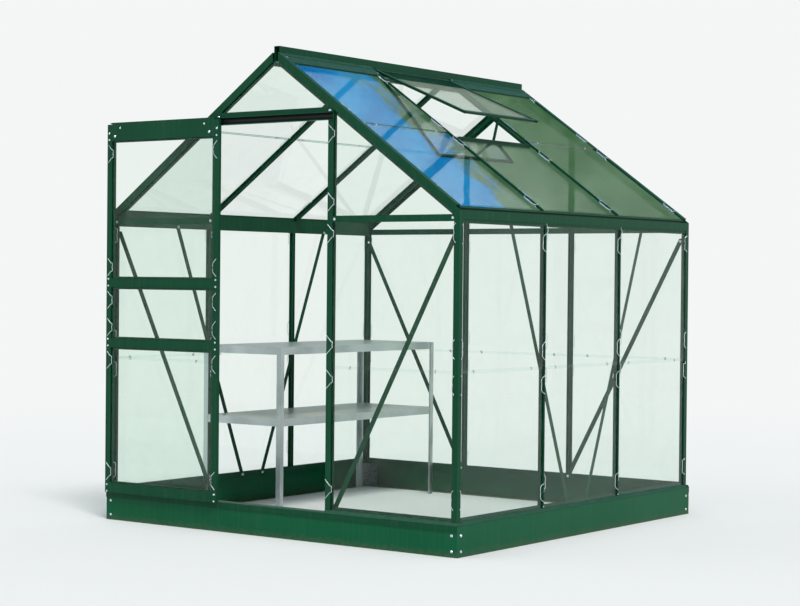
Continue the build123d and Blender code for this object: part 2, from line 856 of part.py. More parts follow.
side_bays = ((-bay_end, -bay_start), (-bay_inner, bay_inner), (bay_start, bay_end))
lower_head = pane_foot + pane_length
upper_foot = lower_head - pane_lap
for name, face in {"left_wall_glass": left_face, "right_wall_glass": right_face}.items():
    with BuildPart() as wall_glass:
        for start, end in side_bays:
            lay_pane(face, start, end, pane_foot, lower_head)
            lap_pane(face, start, end, upper_foot, pane_head)
    finish(wall_glass, name)

crossbar_groove = crossbar_web - crossbar_plate / 2 - pane_gap
gable_foot = crossbar_web + crossbar_plate / 2 + pane_gap


def gable_pane(face, start, end, foot):
    """A pane from a crossbar up to the rafters."""
    with BuildSketch(face.offset(-(glass_setback + glass_thickness))) as pane:
        with Locations(((start + end) / 2, (foot + ridge_height) / 2)):
            Rectangle(end - start, ridge_height - foot)
        add(roof_cut(rafter_face + pane_gap), mode=Mode.SUBTRACT)
    extrude(pane.sketch, amount=glass_thickness)


header_web = header_level + header_height - crossbar_height / 2
header_foot = header_web + crossbar_plate / 2 + pane_gap
front_bays = ((-bay_end, -(left_jamb_outer + pane_gap)), (jamb_outer + pane_gap, bay_end))
with BuildPart() as front_gable_glass:
    for start, end in front_bays:
        lay_pane(front_face, start, end, pane_foot, lower_head)
        lap_pane(front_face, start, end, upper_foot, crossbar_groove)
        gable_pane(front_face, start, end, gable_foot)
    gable_pane(front_face, pane_gap - left_jamb_inner, jamb_inner - pane_gap, header_foot)
finish(front_gable_glass, "front_gable_glass")

with BuildPart() as rear_gable_glass:
    for start, end in side_bays:
        lay_pane(rear_face, start, end, pane_foot, lower_head)
        lap_pane(rear_face, start, end, upper_foot, crossbar_groove)
        gable_pane(rear_face, start, end, gable_foot)
finish(rear_gable_glass, "rear_gable_glass")

hinge_place = (frame_half - vent_hinge_x - vent_hinge_depth * sin(pitch)) / cos(pitch)
trimmer_place = hinge_place - vent_length - trimmer_gap
trimmer_stop = trimmer_place - pane_gap
with BuildPart() as left_roof_glass:
    for start, end in side_bays:
        lay_pane(left_slope, start, end, roof_foot, roof_lower_head)
        lap_pane(left_slope, start, end, roof_upper_foot, roof_head)
finish(left_roof_glass, "left_roof_glass")

with BuildPart() as right_roof_glass:
    for start, end in (side_bays[0], side_bays[2]):
        lay_pane(right_slope, start, end, roof_foot, roof_lower_head)
        lap_pane(right_slope, start, end, roof_upper_foot, roof_head)
    lay_pane(right_slope, -bay_inner, bay_inner, roof_foot, trimmer_stop)
finish(right_roof_glass, "right_roof_glass")

# Trimmer under the vent's foot, between the two middle roof bars
trimmer_half = bar_place - bar_width / 2 - fit_gap
trimmer_shape = outline(
    (-seat_back, trimmer_place - trimmer_seat),
    (-seat_front, trimmer_place - trimmer_seat),
    (-seat_front, trimmer_place),
    (trimmer_rise, trimmer_place),
    (trimmer_rise, trimmer_place + trimmer_sheet),
    (-seat_front, trimmer_place + trimmer_sheet),
    (-seat_front, trimmer_place + trimmer_seat),
    (-seat_back, trimmer_place + trimmer_seat),
)
with BuildPart() as vent_trimmer:
    lay_rail(trimmer_shape, right_slope, -trimmer_half, trimmer_half)
finish(vent_trimmer, "vent_trimmer")

# Roof vent, propped open on its stay
vent_pitch = pitch - radians(vent_opening)
vent_middle_plane = Plane(
    origin=(vent_hinge_x, 0, vent_hinge_z),
    x_dir=(0, 1, 0),
    z_dir=(sin(vent_pitch), 0, cos(vent_pitch)),
)
vent_face_plane = vent_middle_plane.offset(vent_wall / 2)
vent_glass_back = vent_wall + fit_gap + glass_thickness
vent_seat_front = vent_glass_back + fit_gap
vent_seat_back = vent_seat_front + vent_wall
vent_side = outline(
    (0, 0),
    (vent_face, 0),
    (vent_face, vent_wall),
    (vent_edge + vent_wall, vent_wall),
    (vent_edge + vent_wall, vent_seat_front),
    (vent_edge + vent_wall + vent_rebate, vent_seat_front),
    (vent_edge + vent_wall + vent_rebate, vent_seat_back),
    (vent_edge + vent_wall, vent_seat_back),
    (vent_edge + vent_wall, vent_depth),
    (vent_edge, vent_depth),
    (vent_edge, vent_wall),
    (0, vent_wall),
)
vent_end = outline(
    (-vent_wall, 0),
    (0, 0),
    (0, vent_face),
    (-vent_wall, vent_face),
    (-vent_wall, vent_edge + vent_wall),
    (-vent_seat_front, vent_edge + vent_wall),
    (-vent_seat_front, vent_edge + vent_wall + vent_rebate),
    (-vent_seat_back, vent_edge + vent_wall + vent_rebate),
    (-vent_seat_back, vent_edge + vent_wall),
    (-vent_depth, vent_edge + vent_wall),
    (-vent_depth, vent_edge),
    (-vent_wall, vent_edge),
)
head_plate = outline((-vent_wall, 0), (-vent_wall, -vent_face), (0, -vent_face), (0, 0))
head_web = outline(
    (-vent_wall, -vent_edge - vent_wall),
    (-vent_depth, -vent_edge - vent_wall),
    (-vent_depth, -vent_edge),
    (-vent_wall, -vent_edge),
)
vent_foot = vent_face_plane.from_local_coords(Vector(0, -vent_length, 0))
foot_plane = Plane(origin=vent_foot, x_dir=vent_face_plane.x_dir, z_dir=vent_face_plane.z_dir)
with BuildPart() as vent_frame:
    raise_bar(vent_side, vent_face_plane, -vent_half, -vent_length, -vent_head_gap)
    mirror(vent_frame.part, about=Plane.XZ)
    lay_rail(vent_end, foot_plane, -rail_end, rail_end)
    lay_rail(head_plate, vent_face_plane, -rail_end, rail_end)
    lay_rail(head_web, vent_face_plane, -rail_end, rail_end)
    with BuildSketch(Plane.XZ):
        with Locations((vent_hinge_x, vent_hinge_z)):
            Circle(hinge_bead)
    extrude(amount=rail_end, both=True)
finish(vent_frame, "vent_frame")

vent_pane_edge = vent_edge + vent_wall + pane_gap / 2
with BuildPart() as vent_glass:
    with BuildSketch(vent_face_plane.offset(-vent_glass_back)):
        with Locations((0, -vent_length / 2)):
            Rectangle(2 * (vent_half - vent_pane_edge), vent_length - 2 * vent_pane_edge)
    extrude(amount=glass_thickness)
finish(vent_glass, "vent_glass")

stay_foot_x, stay_foot_z = roof_point(trimmer_place + trimmer_seat / 2, seat_front)
stay_foot_z += fit_gap
stay_head = vent_face_plane.from_local_coords(
    Vector(0, vent_edge + vent_wall - vent_length + vent_stay_width, -vent_seat_back)
)
half_stay = vent_stay_width / 2
head_drop = half_stay * tan(vent_pitch)
foot_drop = half_stay * tan(pitch)
vent_stay_shape = outline(
    (stay_foot_x - half_stay, stay_foot_z + foot_drop),
    (stay_foot_x + half_stay, stay_foot_z - foot_drop),
    (stay_head.X + half_stay, stay_head.Z - head_drop - fit_gap),
    (stay_head.X - half_stay, stay_head.Z + head_drop - fit_gap),
)
with BuildPart() as vent_stay:
    with BuildSketch(Plane.XZ):
        add(vent_stay_shape)
    extrude(amount=vent_stay_thickness / 2, both=True)
finish(vent_stay, "vent_stay")

# Places of the door, drawn as it stands open
door_width = doorway_width + 2 * door_overlap
door_right = door_open_lap - left_jamb_inner
door_left = door_right - door_width
door_bottom = base_height + door_foot_gap
door_top = header_level + door_head
middle_rail_levels = [door_bottom + height for height in middle_rail_heights]
pane_feet = [door_bottom + bottom_rail] + [level + middle_rail for level in middle_rail_levels]
pane_heads = middle_rail_levels + [door_top - top_rail]

# Track over the doorway, running on to the left so that the door can open
track_bottom = header_level
track_top = header_level + track_height
track_reach = door_gap - track_clearance
track_left_end = min(door_left, track_end_gap - frame_half)
track_right_end = jamb_outer
track_shape = outline(
    (0, track_bottom - track_sheet),
    (track_rail, track_bottom - track_sheet),
    (track_rail, track_bottom + track_rail_lip),
    (track_rail - track_sheet, track_bottom + track_rail_lip),
    (track_rail - track_sheet, track_bottom),
    (track_sheet, track_bottom),
    (track_sheet, track_top - track_sheet),
    (track_reach - track_sheet, track_top - track_sheet),
    (track_reach - track_sheet, track_top - track_fascia),
    (track_reach, track_top - track_fascia),
    (track_reach, track_top),
    (0, track_top),
)
with BuildPart() as door_track:
    lay_rail(track_shape, front_face, track_left_end, track_right_end)
finish(door_track, "door_track")

# Angle that carries the track's free end from the corner post
stay_shape = outline(
    (-frame_half, 0),
    (-frame_half, -stay_leg),
    (stay_thickness - frame_half, -stay_leg),
    (stay_thickness - frame_half, -stay_thickness),
    (frame_depth - frame_half, -stay_thickness),
    (frame_depth - frame_half, 0),
)
stay_top = track_bottom - track_sheet
with BuildPart() as track_stay:
    raise_bar(stay_shape, front_face, 0, stay_top - stay_length, stay_top)
finish(track_stay, "track_stay")

# Sliding door: hollow stiles and rails, with a seat behind the edges of each pane
door_face = front_face.offset(door_gap + door_depth)
door_middle = (door_left + door_right) / 2
stile_face = stile_box + stile_seat
stile_shape = outline((0, 0), (stile_box, 0), (stile_box, door_depth), (0, door_depth))
stile_bore = outline(
    (door_wall, door_wall),
    (stile_box - door_wall, door_wall),
    (stile_box - door_wall, door_depth - door_wall),
    (door_wall, door_depth - door_wall),
)
stile_rest = outline(
    (stile_box - door_wall, seat_front),
    (stile_face, seat_front),
    (stile_face, seat_back),
    (stile_box - door_wall, seat_back),
)
with BuildPart() as door_stiles:
    for foot, head in zip(pane_feet, pane_heads):
        raise_bar(stile_rest, door_face, door_left, foot, head)
    with BuildSketch(upright(door_face, door_left, door_bottom)):
        add(stile_shape)
        add(stile_bore, mode=Mode.SUBTRACT)
    extrude(amount=door_top - door_bottom)
    mirror(door_stiles.part, about=Plane.YZ.offset(door_middle))
finish(door_stiles, "door_stiles")


def door_rail(bottom, top, seat_bottom, seat_top):
    """A hollow rail between the stiles, with a seat that reaches behind the panes beside it."""
    seat = outline(
        (-seat_back, seat_bottom),
        (-seat_front, seat_bottom),
        (-seat_front, seat_top),
        (-seat_back, seat_top),
    )
    box = outline((-door_depth, bottom), (0, bottom), (0, top), (-door_depth, top))
    bore = outline(
        (door_wall - door_depth, bottom + door_wall),
        (-door_wall, bottom + door_wall),
        (-door_wall, top - door_wall),
        (door_wall - door_depth, top - door_wall),
    )
    lay_rail(seat, door_face, door_left + stile_face, door_right - stile_face)
    lay_rail(box, door_face, door_left + stile_box, door_right - stile_box)
    with BuildSketch(level(door_face, door_right)) as hollow:
        add(bore)
    extrude(hollow.sketch, amount=door_width, mode=Mode.SUBTRACT)


with BuildPart() as door_rails:
    bottom_top = door_bottom + bottom_rail
    door_rail(door_bottom, bottom_top, bottom_top - rail_seat, bottom_top + rail_seat)
    for bottom in middle_rail_levels:
        top = bottom + middle_rail
        door_rail(bottom, top, bottom - rail_seat, top + rail_seat)
    top_bottom = door_top - top_rail
    door_rail(top_bottom, door_top, top_bottom - rail_seat, top_bottom + rail_seat)
    top_lip = outline(
        (-door_plate, door_top - door_plate),
        (0, door_top - door_plate),
        (0, door_top + door_top_lip),
        (-door_plate, door_top + door_top_lip),
    )
    lay_rail(top_lip, door_face, door_left + stile_box, door_right - stile_box)
finish(door_rails, "door_rails")

# One pane between each rail and the next
with BuildPart() as door_glass:
    with BuildSketch(door_face.offset(-(glass_setback + glass_thickness))):
        for foot, head in zip(pane_feet, pane_heads):
            with Locations((door_middle, (foot + head) / 2)):
                Rectangle(door_width - 2 * (stile_box + pane_gap), head - foot - 2 * pane_gap)
    extrude(amount=glass_thickness)
finish(door_glass, "door_glass")

# Wheels on the track's rail, each on an axle from the back of the door
wheel_back = track_sheet + pane_gap
wheel_axis = track_bottom + wheel_radius + fit_gap
wheel_places = [(door_left + wheel_inset, wheel_axis), (door_right - wheel_inset, wheel_axis)]
with BuildPart() as door_wheels:
    with BuildSketch(front_face.offset(wheel_back)):
        with Locations(*wheel_places):
            Circle(wheel_radius)
    extrude(amount=wheel_width)
    chamfer(door_wheels.edges().filter_by(GeomType.CIRCLE), wheel_edge)
    with BuildSketch(front_face.offset(wheel_back)):
        with Locations(*wheel_places):
            Circle(axle_radius)
    extrude(amount=door_gap - wheel_back)
finish(door_wheels, "door_wheels")

# Two-tier staging along the left wall
staging_left = -(frame_half - flange_back) + fit_gap
staging_right = staging_left + staging_width
staging_across = (staging_left + staging_right) / 2
staging_middle = frame_half - flange_back - staging_rear_gap - staging_length / 2
leg_reach = Vector(staging_width - leg_width, staging_length - leg_width) / 2
notch_reach = leg_reach - Vector(leg_sheet, leg_sheet)


def four_corners(reach):
    """Places at the staging's four corners, at a reach from its middle."""
    middle = Vector(staging_across, staging_middle)
    return [middle + Vector(x * reach.X, y * reach.Y) for x in (-1, 1) for y in (-1, 1)]


with BuildPart() as staging_legs:
    with BuildSketch():
        with Locations(*four_corners(leg_reach)):
            Rectangle(leg_width, leg_width)
        with Locations(*four_corners(notch_reach)):
            Rectangle(leg_width, leg_width, mode=Mode.SUBTRACT)
    extrude(amount=upper_shelf_top - shelf_sheet)
finish(staging_legs, "staging_legs")

shelf_width = staging_width - 2 * leg_sheet
shelf_length = staging_length - 2 * leg_sheet
for name, top in {"upper_shelf": upper_shelf_top, "lower_shelf": lower_shelf_top}.items():
    with BuildPart() as shelf:
        with BuildSketch(Plane.XY.offset(top - shelf_lip)):
            with Locations((staging_across, staging_middle)):
                Rectangle(shelf_width, shelf_length)
                Rectangle(
                    shelf_width - 2 * shelf_sheet, shelf_length - 2 * shelf_sheet, mode=Mode.SUBTRACT
                )
        extrude(amount=shelf_lip)
        with BuildSketch(Plane.XY.offset(top - shelf_sheet)):
            with Locations((staging_across, staging_middle)):
                Rectangle(shelf_width, shelf_length)
        extrude(amount=shelf_sheet)
    finish(shelf, name)
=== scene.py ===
"""Looks of the small glass greenhouse: finishes, glazing clips, strips and bolts, and the studio."""

import json
import logging
import math
from collections.abc import Callable
from dataclasses import dataclass, field
from enum import Enum
from functools import partial

import bpy
from mathutils import Matrix, Vector

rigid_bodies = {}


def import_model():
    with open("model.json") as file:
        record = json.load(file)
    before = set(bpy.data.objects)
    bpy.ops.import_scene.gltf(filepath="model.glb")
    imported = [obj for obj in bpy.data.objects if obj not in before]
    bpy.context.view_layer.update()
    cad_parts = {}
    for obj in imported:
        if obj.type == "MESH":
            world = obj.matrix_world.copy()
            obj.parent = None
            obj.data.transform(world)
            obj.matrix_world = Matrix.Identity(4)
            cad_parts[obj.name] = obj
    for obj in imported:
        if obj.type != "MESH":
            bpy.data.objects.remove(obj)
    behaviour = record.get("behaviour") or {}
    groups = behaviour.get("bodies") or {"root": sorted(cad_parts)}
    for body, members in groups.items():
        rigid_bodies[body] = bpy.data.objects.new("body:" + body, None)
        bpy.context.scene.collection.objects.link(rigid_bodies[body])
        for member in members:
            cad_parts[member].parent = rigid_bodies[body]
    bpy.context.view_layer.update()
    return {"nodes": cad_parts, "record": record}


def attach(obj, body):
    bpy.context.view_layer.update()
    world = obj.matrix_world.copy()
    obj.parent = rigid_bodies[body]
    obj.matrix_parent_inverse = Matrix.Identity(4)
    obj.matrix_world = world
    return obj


Material = bpy.types.Material
Mesh = bpy.types.Mesh
Node = bpy.types.Node
Piece = bpy.types.Object
Socket = bpy.types.NodeSocket
Tree = bpy.types.NodeTree
Adder = Callable[..., Node]
Triple = tuple[float, float, float]
Shell = tuple[list[Vector], list[tuple[int, ...]]]

log = logging.getLogger("greenhouse")

MM = 0.001
FRAME_HALF = 0.955
BASE_HALF = 0.965
DOOR_OUT = 0.994
BAR_PLACE = 0.3125
POST_EDGE = 0.930
JAMB_OUTER = 0.3165
LEFT_JAMB_OUTER = 0.3495
EAVES = 1.387
RIDGE = 2.064
PITCH = math.atan2(RIDGE - EAVES, FRAME_HALF)
VENT_TILT = math.radians(22.93)
PANE_SETBACK = 5.0 * MM
LAP_LEAN = 3.3 * MM

# The kinds of shader node that are used most. A range takes a value, the two ends that it comes from and
# the two that it goes to, and a mix takes its share and its two colours
MATH = "ShaderNodeMath"
MIX = "ShaderNodeMix"
NOISE = "ShaderNodeTexNoise"
RANGE = "ShaderNodeMapRange"


class Slot(Enum):
    """The record's material slots."""

    FRAME = "green_frame"
    BASE = "green_base"
    ZINC = "zinc_steel"
    GLASS = "glass"
    ALUMINIUM = "bare_aluminium"
    NYLON = "nylon"


class Body(Enum):
    """What a piece moves with."""

    HOUSE = "house"
    DOOR = "door"


def linear(code: str) -> tuple[float, float, float, float]:
    """Turns an sRGB hex value into linear light.

    Args:
        code: The colour, such as "#1c5a40".

    Returns:
        Red, green, blue and a full alpha for a shader's socket.
    """
    parts = [int(code[i : i + 2], 16) / 255 for i in (1, 3, 5)]
    red, green, blue = (c / 12.92 if c <= 0.04045 else ((c + 0.055) / 1.055) ** 2.4 for c in parts)
    return red, green, blue, 1.0


def add_node(tree: Tree, kind: str, feeds: dict | tuple = (), **settings: object) -> Node:
    """Adds a node with its settings and its links.

    Args:
        tree: The tree that gets the node.
        kind: The node's type.
        feeds: What goes into the inputs, by name, or else in order into those in use: a plain value, a
            colour's hex value, another node's output, or another node, which stands for its first
            output in use.
        settings: The node's own properties.

    Returns:
        The new node.
    """
    node = tree.nodes.new(kind)
    for name, value in settings.items():
        setattr(node, name, value)
    if isinstance(feeds, dict):
        pairs = [(node.inputs[name], value) for name, value in feeds.items()]
    else:
        pairs = list(zip([socket for socket in node.inputs if socket.enabled], feeds))
    for socket, value in pairs:
        if isinstance(value, Node):
            value = next(output for output in value.outputs if output.enabled)
        if isinstance(value, Socket):
            tree.links.new(value, socket)
        elif isinstance(value, str) and value.startswith("#"):
            socket.default_value = linear(value)
        else:
            socket.default_value = value
    return node


def blank_material(name: str) -> tuple[Material, Adder, Socket]:
    """Makes a material whose tree holds nothing but the piece's own coordinates.

    Args:
        name: The finish's plain name.

    Returns:
        The material, what adds nodes to its tree, and the coordinates.
    """
    material = bpy.data.materials.new(name)
    material.use_nodes = True
    material.node_tree.nodes.clear()
    add = partial(add_node, material.node_tree)
    return material, add, add("ShaderNodeTexCoord").outputs["Object"]


def facing_up(add: Adder, most: float) -> Node:
    """Adds the nodes that tell what faces up from what stands upright.

    Args:
        add: Adds nodes to the material's tree.
        most: The share on a level face.

    Returns:
        The share, from 0 on an upright face.
    """
    normal = add("ShaderNodeNewGeometry").outputs["Normal"]
    height = add("ShaderNodeSeparateXYZ", (normal,)).outputs["Z"]
    return add(RANGE, (height, 0.3, 0.95, 0.0, most))


def seen_by(add: Adder, rays: tuple[str, ...]) -> Node | Socket:
    """Adds the nodes that tell one of several kinds of ray from the rest.

    Args:
        add: Adds nodes to the tree of a material or of the world.
        rays: The kinds of ray.

    Returns:
        The share, 1 for these rays and 0 for others.
    """
    light = add("ShaderNodeLightPath")
    share = light.outputs[rays[0]]
    for ray in rays[1:]:
        share = add(MATH, (share, light.outputs[ray]), operation="MAXIMUM")
    return share


@dataclass(frozen=True)
class PaintedMetal:
    """A green coat on metal: even and hard, low in gloss, with dust on top and splashed soil low down."""

    name: str
    colour: str
    faded: str
    roughness: float
    peel_mm: float
    dust_share: float
    splash_height: float
    dust: str = "#7f8f80"
    soil: str = "#5d5a47"
    sheen: float = 0.10

    def build(self) -> Material:
        """Returns the coat as a material."""
        material, add, place = blank_material(self.name)
        fade = add(NOISE, {"Vector": place, "Scale": 2.4, "Detail": 4.0, "Roughness": 0.55})
        fade_share = add(RANGE, (fade, 0.35, 0.7, 0.0, 0.55))
        coat = add(MIX, (fade_share, self.colour, self.faded), data_type="RGBA")
        # Rain leaves faint upright runs, about 12 mm apart and half a metre long
        run_place = add("ShaderNodeMapping", {"Vector": place, "Scale": (80.0, 80.0, 2.0)})
        runs = add(NOISE, {"Vector": run_place, "Scale": 1.0, "Detail": 3.0})
        run_share = add(RANGE, (runs, 0.5, 0.78, 0.0, 0.05))
        # Dust lies in patches on what faces up
        patches = add(NOISE, {"Vector": place, "Scale": 28.0, "Detail": 5.0, "Roughness": 0.6})
        lying = add(MATH, (facing_up(add, self.dust_share), patches), operation="MULTIPLY")
        dust_share = add(MATH, (lying, run_share), operation="MAXIMUM")
        dusty = add(MIX, (dust_share, coat, self.dust), data_type="RGBA")
        # Splashed soil, thick at the foot and gone within splash_height
        height = add("ShaderNodeSeparateXYZ", (place,)).outputs["Z"]
        low = add(RANGE, (height, 0.0, self.splash_height, 1.0, 0.0))
        spots = add(NOISE, {"Vector": place, "Scale": 55.0, "Detail": 6.0, "Roughness": 0.7})
        wet = add(MATH, (low, spots), operation="MULTIPLY")
        splash = add(RANGE, (wet, 0.30, 0.58, 0.0, 0.45))
        skin = add(MIX, (splash, dusty, self.soil), data_type="RGBA")
        spread = add(MATH, (dust_share, 0.6, self.roughness), operation="MULTIPLY_ADD")
        rough = add(MATH, (splash, 0.35, spread), operation="MULTIPLY_ADD")
        # Orange peel is 1 to 2 mm wide, drawn a little coarser so that it shows
        peel = add(NOISE, {"Vector": place, "Scale": 1 / (self.peel_mm * MM), "Detail": 2.0})
        bump = add("ShaderNodeBump", {"Height": peel, "Strength": 0.22, "Distance": 0.4 * MM})
        shader = add(
            "ShaderNodeBsdfPrincipled",
            {"Base Color": skin, "Roughness": rough, "Normal": bump, "Specular IOR Level": self.sheen},
        )
        add("ShaderNodeOutputMaterial", {"Surface": shader})
        return material


@dataclass(frozen=True)
class GalvanisedSteel:
    """Hot-dip zinc on steel: grey metal with leaf-like spangle that catches the light unevenly."""

    name: str = "galvanised_steel"
    dark: str = "#8f9698"
    light: str = "#b9bfc0"
    spangle_mm: float = 9.0

    def build(self) -> Material:
        """Returns the zinc as a material."""
        material, add, place = blank_material(self.name)
        leaves = add("ShaderNodeTexVoronoi", {"Vector": place, "Scale": 1 / (self.spangle_mm * MM)})
        red, green, _blue = add("ShaderNodeSeparateColor", (leaves.outputs["Color"],)).outputs
        tone = add(MIX, (red, self.dark, self.light), data_type="RGBA")
        rough = add(RANGE, (green, 0.0, 1.0, 0.34, 0.52))
        shader = add("ShaderNodeBsdfPrincipled", {"Base Color": tone, "Roughness": rough, "Metallic": 1.0})
        add("ShaderNodeOutputMaterial", {"Surface": shader})
        return material


@dataclass(frozen=True)
class HorticulturalGlass:
    """3 mm float glass: clear and faintly green through its face, deep green at its edge, a little dirty."""

    name: str
    facing: Triple
    face_tint: str = "#fafdfb"
    edge_tint: str = "#4c9076"
    dirt: str = "#cdd6cc"
    gloss: float = 0.012
    rim_gloss: float = 0.8
    wave_mm: float = 180.0

    def build(self) -> Material:
        """Returns the pane as a material."""
        material, add, place = blank_material(self.name)
        # The cut edge is what doesn't face as the pane does
        normal = add("ShaderNodeTexCoord").outputs["Normal"]
        square = add("ShaderNodeVectorMath", (normal, self.facing), operation="DOT_PRODUCT")
        flat = add(MATH, (square,), operation="ABSOLUTE")
        edge = add(RANGE, (flat, 0.3, 0.8, 1.0, 0.0))
        tint = add(MIX, (edge, self.face_tint, self.edge_tint), data_type="RGBA")
        clear = add("ShaderNodeBsdfTransparent", {"Color": tint})
        # Dried water spots and dust: a veil of a hundredth or two
        veil = add(NOISE, {"Vector": place, "Scale": 9.0, "Detail": 8.0, "Roughness": 0.65})
        veil_share = add(RANGE, (veil, 0.45, 0.8, 0.0, 0.02))
        dirt = add("ShaderNodeBsdfDiffuse", {"Color": self.dirt})
        soiled = add("ShaderNodeMixShader", (veil_share, clear, dirt))
        # Gloss rises towards the rim, from about a hundredth face on
        rim = add("ShaderNodeLayerWeight", {"Blend": 0.5}).outputs["Facing"]
        power = add(MATH, (rim, 5.0), operation="POWER")
        gloss = add(MATH, (power, self.rim_gloss, self.gloss), operation="MULTIPLY_ADD")
        wave = add(NOISE, {"Vector": place, "Scale": 1 / (self.wave_mm * MM), "Detail": 1.0})
        bend = add("ShaderNodeBump", {"Height": wave, "Strength": 0.25, "Distance": 1.5 * MM})
        mirror = add("ShaderNodeBsdfGlossy", {"Color": "#ffffff", "Roughness": 0.015, "Normal": bend})
        pane = add("ShaderNodeMixShader", (gloss, soiled, mirror))
        add("ShaderNodeOutputMaterial", {"Surface": pane})
        return material


@dataclass(frozen=True)
class MillAluminium:
    """Rolled aluminium as it leaves the mill: pale, satin, with roll lines, dull patches and dust on top."""

    name: str = "mill_aluminium"
    colour: str = "#c3caca"
    dull: str = "#a2acab"
    dust: str = "#b3b5ac"
    roughness: float = 0.36
    line_mm: float = 4.0

    def build(self) -> Material:
        """Returns the metal as a material."""
        material, add, place = blank_material(self.name)
        # Real roll lines are under 1 mm; these are 4 mm apart so that they show
        across = 1 / (self.line_mm * MM)
        rolled = add("ShaderNodeMapping", {"Vector": place, "Scale": (across, 2.0, across)})
        lines = add(NOISE, {"Vector": rolled, "Scale": 1.0, "Detail": 3.0})
        patches = add(NOISE, {"Vector": place, "Scale": 6.0, "Detail": 5.0})
        age = add(RANGE, (patches, 0.4, 0.7, 0.0, 0.8))
        tone = add(MIX, (age, self.colour, self.dull), data_type="RGBA")
        # Dust dulls what faces up
        thick = add(RANGE, (patches, 0.3, 0.65, 0.45, 0.85))
        dust = add(MATH, (facing_up(add, 1.0), thick), operation="MULTIPLY")
        dusty = add(MIX, (dust, tone, self.dust), data_type="RGBA")
        bare = add(MATH, (1.0, dust), operation="SUBTRACT")
        rough = add(MATH, (lines, 0.2, self.roughness - 0.1), operation="MULTIPLY_ADD")
        bump = add("ShaderNodeBump", {"Height": lines, "Strength": 0.15, "Distance": 0.3 * MM})
        shader = add(
            "ShaderNodeBsdfPrincipled",
            {"Base Color": dusty, "Roughness": rough, "Metallic": bare, "Normal": bump},
        )
        add("ShaderNodeOutputMaterial", {"Surface": shader})
        return material


@dataclass(frozen=True)
class MouldedNylon:
    """Black moulded nylon: dark grey to the eye, softly shiny, a little worn."""

    name: str = "moulded_nylon"
    colour: str = "#1b1c1d"
    worn: str = "#2b2c2e"
    roughness: float = 0.42
    grain_mm: float = 1.5

    def build(self) -> Material:
        """Returns the nylon as a material."""
        material, add, place = blank_material(self.name)
        grain = add(NOISE, {"Vector": place, "Scale": 1 / (self.grain_mm * MM), "Detail": 2.0})
        tone = add(MIX, (grain, self.colour, self.worn), data_type="RGBA")
        rough = add(MATH, (grain, 0.2, self.roughness - 0.1), operation="MULTIPLY_ADD")
        shader = add("ShaderNodeBsdfPrincipled", {"Base Color": tone, "Roughness": rough, "IOR": 1.53})
        add("ShaderNodeOutputMaterial", {"Surface": shader})
        return material


@dataclass(frozen=True)
class BrightMetal:
    """Small bright metal, such as drawn spring wire or an aluminium bolt: near white, tarnished in specks."""

    name: str
    colour: str
    tarnish: str
    roughness: float
    speck_mm: float

    def build(self) -> Material:
        """Returns the metal as a material."""
        material, add, place = blank_material(self.name)
        specks = add(NOISE, {"Vector": place, "Scale": 1 / (self.speck_mm * MM), "Detail": 3.0})
        share = add(RANGE, (specks, 0.5, 0.75, 0.0, 0.7))
        tone = add(MIX, (share, self.colour, self.tarnish), data_type="RGBA")
        rough = add(MATH, (share, 0.3, self.roughness), operation="MULTIPLY_ADD")
        shader = add("ShaderNodeBsdfPrincipled", {"Base Color": tone, "Roughness": rough, "Metallic": 1.0})
        add("ShaderNodeOutputMaterial", {"Surface": shader})
        return material


@dataclass(frozen=True)
class GlazingRubber:
    """Extruded glazing strip: dull dark grey rubber, bloomed a little paler in places."""

    name: str = "glazing_rubber"
    colour: str = "#0b0e0c"
    bloom: str = "#191d1b"
    roughness: float = 0.7

    def build(self) -> Material:
        """Returns the rubber as a material."""
        material, add, place = blank_material(self.name)
        bloom = add(NOISE, {"Vector": place, "Scale": 30.0, "Detail": 4.0})
        tone = add(MIX, (bloom, self.colour, self.bloom), data_type="RGBA")
        shader = add("ShaderNodeBsdfPrincipled", {"Base Color": tone, "Roughness": self.roughness})
        add("ShaderNodeOutputMaterial", {"Surface": shader})
        return material


@dataclass(frozen=True)
class Face:
    """A glazed side of the house, seen from outside: u runs along it, v up it and n out of it."""

    name: str
    origin: Triple
    along: Triple
    out: Triple

    def axes(self) -> tuple[Vector, Vector, Vector]:
        """Returns the directions of u, v and n."""
        u = Vector(self.along)
        n = Vector(self.out)
        return u, n.cross(u), n

    def at(self, u: float, v: float, n: float) -> Vector:
        """Returns the point at u, v and n, in the row frame."""
        du, dv, dn = self.axes()
        return Vector(self.origin) + du * u + dv * v + dn * n

    def turn(self) -> Vector:
        """Returns the turn that sets a part's X along the face, its Y up it and its Z out of it."""
        return Vector(Matrix(self.axes()).transposed().to_euler())

    def inside(self) -> "Face":
        """Returns the same plane seen from inside the house."""
        x, y, z = self.along
        a, b, c = self.out
        return Face(f"{self.name}_inside", self.origin, (-x, -y, -z), (-a, -b, -c))


# A place on a face: the face, u, v and n
Site = tuple[Face, float, float, float]

RISE, RUN = math.cos(PITCH), math.sin(PITCH)
FRONT = Face("front", (0, -FRAME_HALF, 0), (1, 0, 0), (0, -1, 0))
REAR = Face("rear", (0, FRAME_HALF, 0), (-1, 0, 0), (0, 1, 0))
RIGHT = Face("right", (FRAME_HALF, 0, 0), (0, 1, 0), (1, 0, 0))
LEFT = Face("left", (-FRAME_HALF, 0, 0), (0, -1, 0), (-1, 0, 0))
RIGHT_SLOPE = Face("right_slope", (FRAME_HALF, 0, EAVES), (0, 1, 0), (RUN, 0, RISE))
LEFT_SLOPE = Face("left_slope", (-FRAME_HALF, 0, EAVES), (0, -1, 0), (-RUN, 0, RISE))
DOOR = Face("door", (0, -DOOR_OUT, 0), (1, 0, 0), (0, -1, 0))


